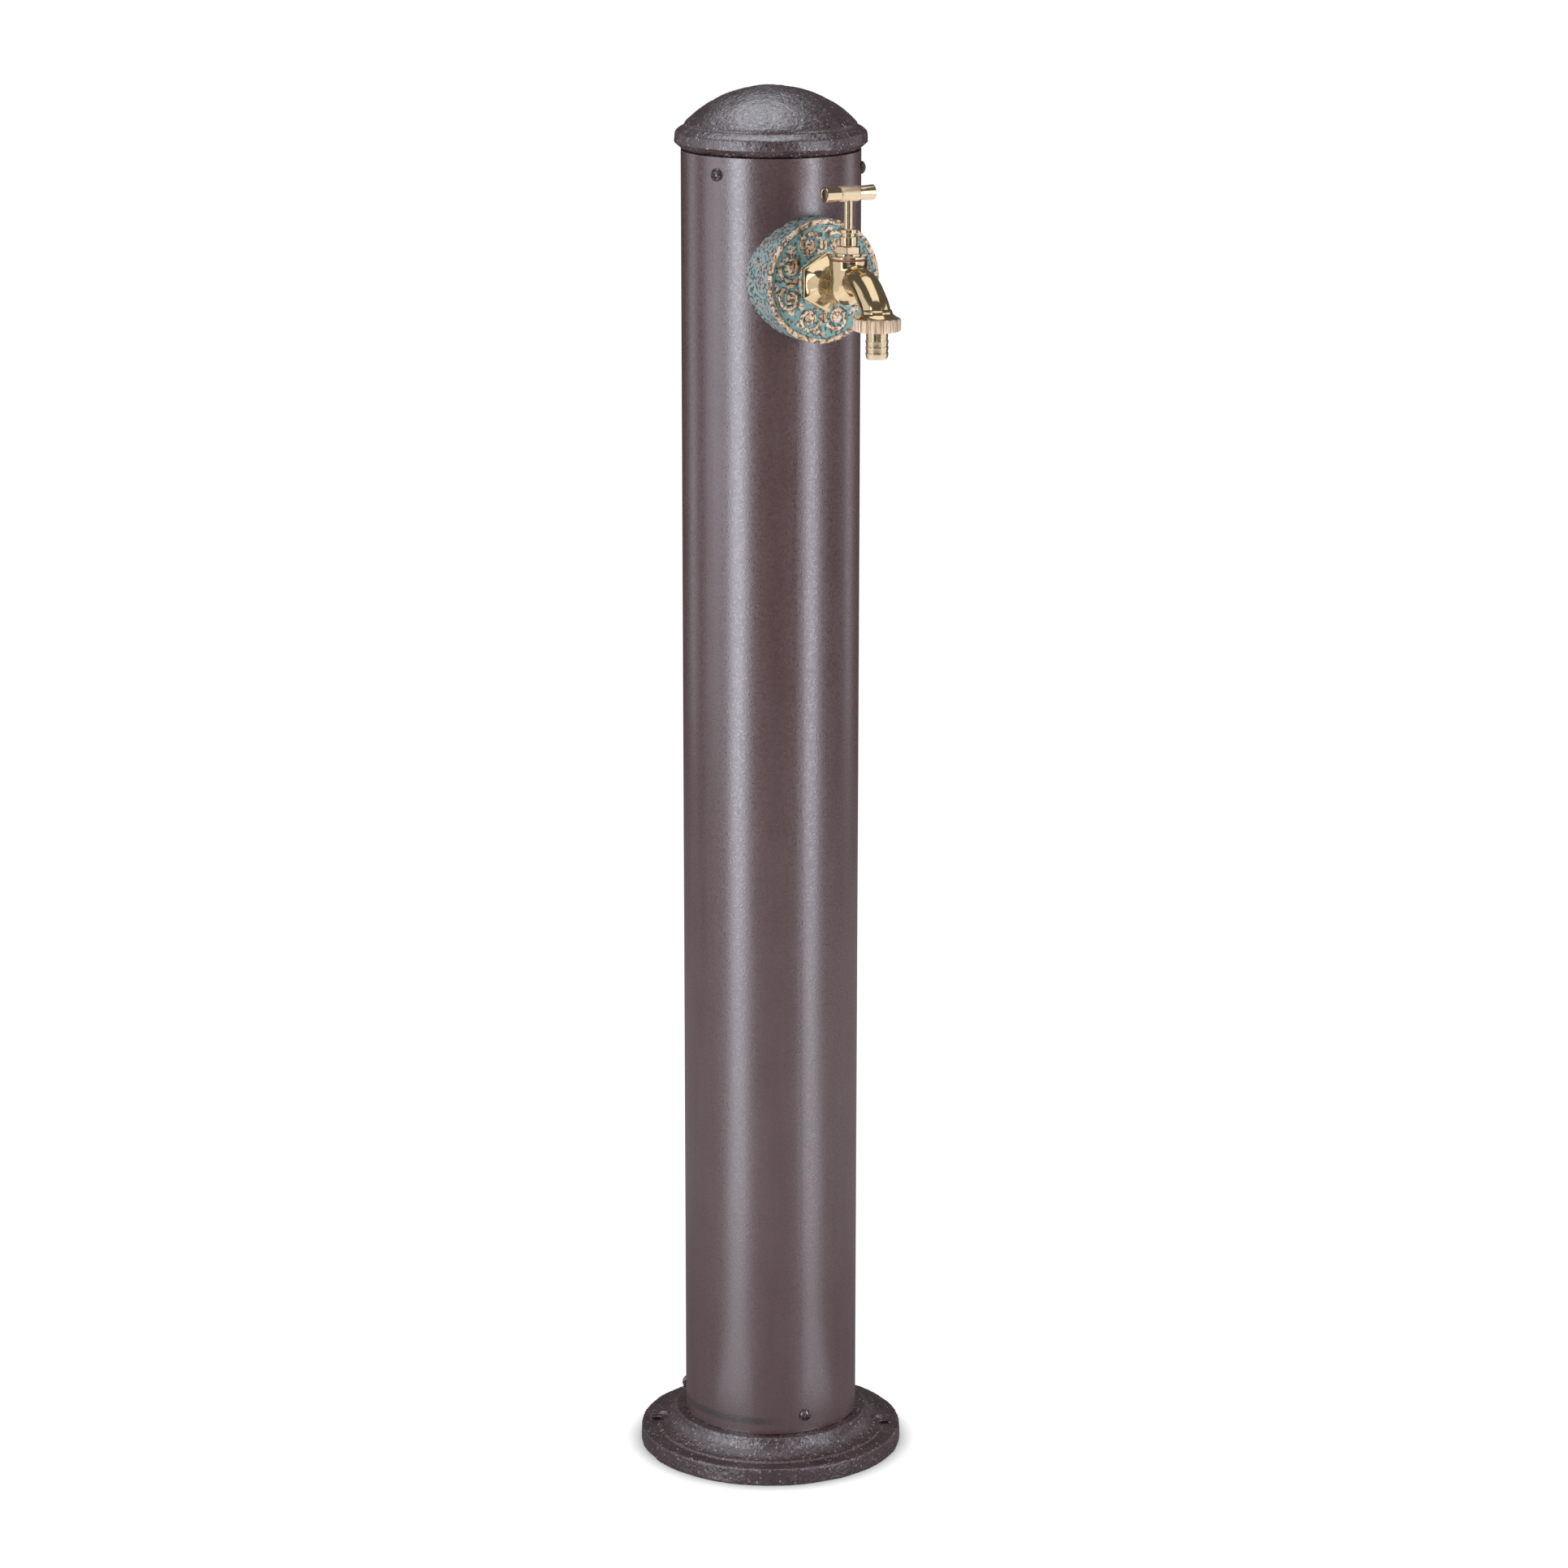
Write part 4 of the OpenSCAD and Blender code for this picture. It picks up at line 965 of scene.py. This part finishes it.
class STANDPIPE_OT_headwork(bpy.types.Operator):
    """Makes the bonnet, its washer and the gland nut"""

    bl_idname = "standpipe.headwork"
    bl_label = "Headwork"

    def execute(self, context):
        brass = context.scene.standpipe_brass
        material = turned_brass(brass, "turned_brass_headwork", 0.16, 0.02)
        stem, barrel_r = 2.95, 5.65
        base = BONNET_Z
        plate_top, hexagon_top = base + 3.0, base + 7.4
        screw, skirt, box = 4.8, 7.6, 4.55
        bottom, roof, floor = low("bonnet").z, CUP_Z - 1.3, low("gland_packing").z
        flange = turned(rounded([
            (screw, base, 0), (11.8, base, 0.3), (11.8, base + 1.5, 0.5), (8.2, base + 1.5, 0.3),
            (8.2, plate_top, 0.2), (screw, plate_top, 0)]))
        shank = turned([(skirt, bottom), (9.2, bottom), (9.2, base), (screw, base),
                        (screw, roof), (skirt, roof)])
        body = hexagon_nut(14.0, plate_top, hexagon_top, math.radians(-35.4 - 90), 1.0, screw)
        barrel = turned(rounded([
            (stem, hexagon_top, 0), (5.3, hexagon_top, 0), (barrel_r, base + 7.8, 0.2),
            (barrel_r, BARREL_TOP, 0.5), (box, BARREL_TOP, 0), (box, floor, 0), (stem, floor, 0)]))
        add_part("bonnet_turned", merged(flange, shank, body, barrel), SPINDLE_U, material,
                 "standpipe", ["bonnet"])

        head, foot, spigot = GLAND_TOP - 2.6, low("gland_nut").z, 4.45
        gland = turned(rounded([
            (stem, foot, 0), (spigot, foot, 0), (spigot, head, 0.2), (barrel_r, head, 0.3),
            (barrel_r, GLAND_TOP - 0.4, 0.3), (5.0, GLAND_TOP, 0.3), (stem, GLAND_TOP, 0.2)]))
        add_part("gland_nut_turned", gland, SPINDLE_U, material,
                 "standpipe", ["gland_nut"])

        inner, outer = 9.3, 11.5
        washer = turned(rounded([
            (inner, CUP_Z, 0), (outer, CUP_Z, 0.35), (outer, BONNET_Z, 0.35),
            (inner, BONNET_Z, 0)]))
        fibre = plain_material("vulcanised_red_fibre", linear("#7a4238"), linear("#93594c"),
                               0.5, 0.0, 1.2, 0.08)
        add_part("fibre_washer", washer, SPINDLE_U, fibre, "standpipe",
                 ["bonnet_washer"], sharp=None)
        return {"FINISHED"}


class STANDPIPE_OT_handle(bpy.types.Operator):
    """Makes the spindle and the tee handle"""

    bl_idname = "standpipe.handle"
    bl_label = "Handle"

    def execute(self, context):
        brass = context.scene.standpipe_brass
        foot, stem_top = low("spindle").z, high("spindle").z
        thread_top = foot + 10.0
        hole, thread_r, stem_r, centre_r = 2.05, 4.75, 2.9, 0.4
        stem = turned(rounded([
            (hole, foot, 0), (thread_r, foot, 0.3), (thread_r, thread_top, 0.4),
            (stem_r, thread_top, 0.3), (stem_r, stem_top, 0), (centre_r, stem_top, 0),
            (centre_r, foot + 8.2, 0), (hole, foot + 8.0, 0)]))
        add_part("spindle_turned", stem, SPINDLE_U,
                 turned_brass(brass, "turned_brass_stem", 0.12, 0.01),
                 "handle", ["spindle"])

        end, waist, hub, hub_half = 4.9, 4.2, 4.9, 6.25
        half = TEE_HALF
        # From the middle of the bar outwards, then its mirror image
        outwards = [
            (waist, hub_half, 0), (waist + 0.1, hub_half + 1.6, 2.0), (end, half - 0.5, 0.4),
            (end - 0.2, half, 0.2), (3.9, half, 0.2), (3.6, half - 0.35, 0.3),
            (0.3, half - 0.5, 0)]
        bar = turned(rounded([(r, -x, bend) for r, x, bend in outwards[::-1]] + outwards))
        add_part("tee_bar", along_x(bar), SPINDLE_U,
                 turned_brass(brass, "turned_brass_bar", 0.1, 0.01, along=0),
                 "handle", ["tee_handle"], z=HUB_Z)

        inner = waist - 0.4
        sleeve = turned(rounded([
            (inner, -hub_half, 0), (hub, -hub_half, 0.35), (hub, hub_half, 0.35),
            (inner, hub_half, 0)]))
        add_part("tee_hub", along_x(sleeve), SPINDLE_U,
                 turned_brass(brass, "brushed_brass_hub", 0.3, 0.05, along=1, metallic=0.7),
                 "handle", z=HUB_Z)
        return {"FINISHED"}


class STANDPIPE_OT_hose_union(bpy.types.Operator):
    """Makes the knurled union nut and the hose tail"""

    bl_idname = "standpipe.hose_union"
    bl_label = "Hose union"

    def execute(self, context):
        brass = context.scene.standpipe_brass
        outer, bore, lip, lip_h, knurls, steps = 14.7, 13.25, 7.35, 1.4, 84, 840
        tall = NUT_TOP - NUT_Z
        # Radius, height and share of the knurl's depth
        profile = [
            (lip, 0, 0), (outer - 0.9, 0, 0), (outer - 0.5, 0.1, 0), (outer, 0.8, 1),
            (outer, tall / 2, 1), (outer, tall - 0.8, 1), (outer - 0.5, tall - 0.1, 0),
            (outer - 0.9, tall, 0), (bore, tall, 0), (bore, lip_h, 0), (lip, lip_h, 0)]
        angle = np.linspace(0, 2 * np.pi, steps, endpoint=False)
        tooth = 0.6 * (0.5 - 0.5 * np.cos(knurls * angle)) ** 2.2
        points = np.concatenate([
            np.stack([(r - cut * tooth) * np.cos(angle), (r - cut * tooth) * np.sin(angle),
                      z + NUT_Z + 0 * angle], -1) for r, z, cut in profile])
        add_part("union_nut_knurled", (points, quads(len(profile), steps, closed=True)), OUTLET_U,
                 knurled_brass(brass), "union", ["union_nut"], sharp=40)

        tail_r, groove, pitch, count = 7.1, 6.6, 3.8, 3
        bore, flange_r, flange_t = 4.8, 12.4, 1.5
        flange, lower, end = low("tail_washer").z, NUT_Z - 6.0, low("hose_tail").z
        outline = [(bore, end, 0.2), (groove - 0.5, end, 0.4), (groove, end + 0.9, 0.3)]
        for i in range(count - 1, -1, -1):
            top = lower - i * pitch
            outline += [(tail_r, top - 0.35, 0.25), (tail_r - 0.05, top, 0.15),
                        (groove, top + 0.1, 0.1)]
        outline += [(groove + 0.1, lower + 2, 0.2), (groove + 0.3, flange - flange_t, 0),
                    (flange_r, flange - flange_t, 0), (flange_r, flange, 0), (bore, flange, 0)]
        add_part("hose_tail_turned", turned(rounded(outline)), OUTLET_U,
                 turned_brass(brass, "turned_brass_tail", 0.18, 0.02),
                 "tail", ["hose_tail"])
        return {"FINISHED"}


class STANDPIPE_OT_supply(bpy.types.Operator):
    """Finishes the pieces inside the column and the tap"""

    bl_idname = "standpipe.supply"
    bl_label = "Supply"

    def execute(self, context):
        brass = context.scene.standpipe_brass
        machined = plain_material("machined_brass", brass.plain, linear("#a98447"),
                                  0.3, 1.0, 5, 0.03)
        dress(machined, "inlet_elbow", "inlet_connector", "connector_nut", "lock_nut",
              "wall_nipple", "jumper_valve", "valve_nut")
        dress(plain_material("galvanised_steel_pipe", linear("#9b9ea1"), linear("#c2c5c7"),
                             0.4, 0.9, 6, 0.05),
              "riser_pipe")
        dress(plain_material("moulded_black_rubber", linear("#1c1c1d"), linear("#2b2a2a"),
                             0.75, 0.0, 2, 0.05),
              "saddle_washer", "valve_washer", "tail_washer")
        dress(plain_material("plaited_packing", linear("#d9d6cb"), linear("#b7b2a2"),
                             0.6, 0.0, 0.8, 0.08),
              "gland_packing")
        return {"FINISHED"}


# Stage

def context_pieces(*names):
    """Scene objects with these names."""
    return [bpy.context.scene.objects[name] for name in names]


class STANDPIPE_OT_stage(bpy.types.Operator):
    """Sets the floor, the lamps, the world and the camera"""

    bl_idname = "standpipe.stage"
    bl_label = "Stage"

    def execute(self, context):
        stage = context.scene.standpipe_stage
        self.add_floor(stage)
        self.add_world(context.scene)
        self.add_lamps(stage)
        self.add_camera(context.scene, stage)
        context.scene.view_settings.view_transform = "Standard"
        return {"FINISHED"}

    def add_floor(self, stage):
        """White paper. It gives light of its own, so that it stays white beyond the lamps.
        Round the foot its glow is darkened into a painted contact shadow.
        """
        steps = 128
        angle = np.linspace(0, 2 * np.pi, steps, endpoint=False)
        mesh = bpy.data.meshes.new("studio_floor")
        mesh.from_pydata([(stage.floor * math.cos(a), stage.floor * math.sin(a), -0.0002)
                          for a in angle], [], [list(range(steps))])
        floor = in_scene("studio_floor", mesh)
        material, tree, shader, place = start_material("white_paper", linear("#e6e6e6"), 0.9)
        path = put(tree, "ShaderNodeLightPath").outputs["Is Camera Ray"]
        away = put(tree, "ShaderNodeVectorMath", {"operation": "LENGTH"}, {0: place})
        away = away.outputs["Value"]
        # Seen by the camera: the glow, a little dimmer near the foot, which ambient occlusion
        # darkens into a painted contact shadow
        seen = spread(tree, away, 0.085, 0.3, 0.96, 1.04, SMOOTH)
        # Mirrored by the metal: a painted glow, dark right by the foot and fading far away
        near = spread(tree, away, 0.25, 0.65, 0.06, stage.paper, SMOOTH)
        far = spread(tree, away, 1.1, 2.2, 1.0, 0.1, SMOOTH)
        contact_occlusion = put(tree, "ShaderNodeAmbientOcclusion", {"samples": 8}, {"Distance": 0.011})
        painted_contact_shadow = calculate(tree, "POWER", contact_occlusion.outputs["AO"], 1.1)
        glow = put(tree, "ShaderNodeMix", None, {
            "Factor": path, "A": calculate(tree, "MULTIPLY", near, far),
            "B": calculate(tree, "MULTIPLY", seen, painted_contact_shadow)})
        wired(material, {
            "Base Color": mixed(tree, path, linear("#6a6464"), linear("#404040")),
            "Emission Strength": glow.outputs["Result"]})
        shader.inputs["Emission Color"].default_value = (1, 1, 1, 1)
        mesh.materials.append(material)

    def add_world(self, scene):
        """Seen straight on the studio is white. What the metal mirrors is a dark room."""
        world = bpy.data.worlds.new("studio")
        world.use_nodes = True
        tree = world.node_tree
        tree.nodes.clear()
        white = put(tree, "ShaderNodeBackground", None, {"Color": (1, 1, 1, 1), "Strength": 1.05})
        dark = put(tree, "ShaderNodeBackground", None, {
            "Color": linear("#e6e2e4"), "Strength": 0.14})
        path = put(tree, "ShaderNodeLightPath")
        mix = put(tree, "ShaderNodeMixShader", None, {
            0: path.outputs["Is Camera Ray"], 1: dark.outputs["Background"],
            2: white.outputs["Background"]})
        put(tree, "ShaderNodeOutputWorld", None, {"Surface": mix.outputs["Shader"]})
        scene.world = world

    def add_lamps(self, stage):
        """Two tall strips left and right of the camera light the coat, as the tube's highlights
        show, and the floor under them gives some of it back. The polished tap has tents of
        its own, as a studio sets up for bright metal: wide white panels on all sides, dim
        behind the camera, and two narrow bright ones for the glints."""
        tap = bpy.data.collections.new("tap_pieces")
        others = bpy.data.collections.new("all_but_tap")
        for piece in context_pieces("tap_body_polished", "bonnet_turned", "gland_nut_turned",
                                    "fibre_washer", "spindle_turned", "tee_bar", "tee_hub",
                                    "union_nut_knurled", "hose_tail_turned"):
            tap.objects.link(piece)
            others.objects.link(piece)
        for item in others.collection_objects:
            item.light_linking.link_state = "EXCLUDE"
        # Name, bearing, distance, height, width, length, brightness
        lamps = (
            ("strip_left", -69.5, 1.3, 0.86, 0.46, 1.7, stage.strip),
            ("strip_right", 25.0, 1.3, 0.86, 0.40, 1.7, stage.strip * 0.85),
            ("fill_left", -69.5, 1.3, 0.62, 0.46, 1.5, stage.fill),
            ("fill_right", 25.0, 1.3, 0.62, 0.40, 1.5, stage.fill * 0.85),
            ("fill_flank", 70.0, 1.3, 0.62, 0.46, 1.5, stage.fill * 0.75),
            ("panel_left", -104.0, 1.9, 1.0, 0.9, 1.8, stage.panel * 0.8),
            ("panel_back_left", -146.0, 1.7, 0.9, 0.45, 1.6, stage.panel * 0.7),
            ("panel_back_right", 92.0, 1.7, 0.9, 0.45, 1.6, stage.panel * 0.7),
            ("panel_top", -170.0, 0.35, 2.3, 1.3, 1.3, stage.panel * 1.7),
            ("spill_left", -69.5, 0.85, 0.01, 0.3, 0.8, stage.strip * 0.4),
            ("spill_right", 25.0, 0.85, 0.01, 0.26, 0.8, stage.strip * 0.36),
            ("spill_near_left", -69.5, 0.28, 0.01, 0.12, 0.3, stage.strip * 0.2),
            ("spill_near_right", 25.0, 0.28, 0.01, 0.11, 0.3, stage.strip * 0.18),
            ("tent_left", -104.0, 1.7, 0.8, 2.0, 1.7, stage.tent * 0.75),
            ("tent_right", 52.0, 1.7, 0.8, 1.9, 1.6, stage.tent * 0.95),
            ("tent_back_left", 170.0, 1.9, 0.9, 1.6, 2.2, stage.tent * 0.7),
            ("tent_top", -10.0, 0.3, 2.3, 1.4, 1.4, stage.tent * 1.1),
            ("tent_floor", -30.0, 0.2, 0.02, 3.4, 3.4, stage.tent * 0.8),
            ("tent_front", -27.0, 3.2, 1.0, 1.2, 2.0, stage.tent * 0.32),
            ("glint_left", -66.0, 1.5, 1.0, 0.26, 1.2, stage.tent * 2.4),
            ("glint_right", 20.0, 1.5, 1.0, 0.2, 1.2, stage.tent * 2.2),
            ("fill_back", 150.0, 1.5, 0.8, 0.9, 1.6, stage.fill * 0.3),
            ("fill_tap", -40.0, 1.3, 0.9, 0.5, 1.2, stage.fill),
        )
        for name, bearing, distance, height, width, tall, brightness in lamps:
            light = bpy.data.lights.new(name, "AREA")
            light.shape = "RECTANGLE"
            light.size, light.size_y = width, tall
            light.energy = brightness * math.pi * width * tall
            light.color = linear("#eceffa")[:3]
            lamp = in_scene(name, light)
            angle = math.radians(bearing)
            lamp.location = (distance * math.sin(angle), -distance * math.cos(angle), height)
            target = Vector((0, 0, min(height, 1.0)))
            lamp.rotation_euler = (target - lamp.location).to_track_quat("-Z", "Y").to_euler()
            if height < 0.05:
                lamp.rotation_euler = (math.pi, 0, angle)
            lamp.visible_camera = False
            lamp.visible_glossy = not name.startswith("fill")
            own = name.startswith(("tent", "glint", "fill_tap"))
            lamp.light_linking.receiver_collection = tap if own else others

    def add_camera(self, scene, stage):
        """The camera was solved from the column, the foot and the cap in the photograph."""
        data = bpy.data.cameras.new("camera")
        data.lens = stage.lens
        data.sensor_width = 36.0
        data.shift_x, data.shift_y = 0.01178, 0.00065
        data.clip_end = 200.0
        camera = in_scene("camera", data)
        camera.location = (-1.3439, -2.6116, 1.2114)
        pitch = math.radians(14.44)
        ahead = Vector((0.4565 * math.cos(pitch), 0.8897 * math.cos(pitch), -math.sin(pitch)))
        camera.rotation_euler = ahead.to_track_quat("-Z", "Y").to_euler()
        scene.camera = camera


class STANDPIPE_PT_panel(bpy.types.Panel):
    """Lists the standpipe's operators and settings"""

    bl_idname = "STANDPIPE_PT_panel"
    bl_label = "Garden standpipe"
    bl_space_type = "VIEW_3D"
    bl_region_type = "UI"
    bl_category = "Standpipe"

    def draw(self, context):
        for operator in OPERATORS:
            self.layout.operator(operator.bl_idname)
        for name in SETTINGS:
            group = getattr(context.scene, name)
            for key in group.__annotations__:
                self.layout.prop(group, key)


SETTINGS = {
    "standpipe_coat": StandpipeCoat,
    "standpipe_rosette": StandpipeRosette,
    "standpipe_brass": StandpipeBrass,
    "standpipe_stage": StandpipeStage,
}
OPERATORS = (
    STANDPIPE_OT_castings, STANDPIPE_OT_column, STANDPIPE_OT_screws, STANDPIPE_OT_rosette,
    STANDPIPE_OT_tap, STANDPIPE_OT_headwork, STANDPIPE_OT_handle, STANDPIPE_OT_hose_union,
    STANDPIPE_OT_supply, STANDPIPE_OT_stage,
)


def register():
    for group in SETTINGS.values():
        bpy.utils.register_class(group)
    for operator in OPERATORS:
        bpy.utils.register_class(operator)
    bpy.utils.register_class(STANDPIPE_PT_panel)
    for name, group in SETTINGS.items():
        setattr(bpy.types.Scene, name, bpy.props.PointerProperty(type=group))


def unregister():
    for name in SETTINGS:
        delattr(bpy.types.Scene, name)
    bpy.utils.unregister_class(STANDPIPE_PT_panel)
    for operator in reversed(OPERATORS):
        bpy.utils.unregister_class(operator)
    for group in reversed(list(SETTINGS.values())):
        bpy.utils.unregister_class(group)


def main():
    """Registers the add-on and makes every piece."""
    register()
    bpy.ops.standpipe.castings()
    bpy.ops.standpipe.column()
    bpy.ops.standpipe.screws()
    bpy.ops.standpipe.rosette()
    bpy.ops.standpipe.tap()
    bpy.ops.standpipe.headwork()
    bpy.ops.standpipe.handle()
    bpy.ops.standpipe.hose_union()
    bpy.ops.standpipe.supply()
    bpy.ops.standpipe.stage()


if __name__ == "__main__":
    main()
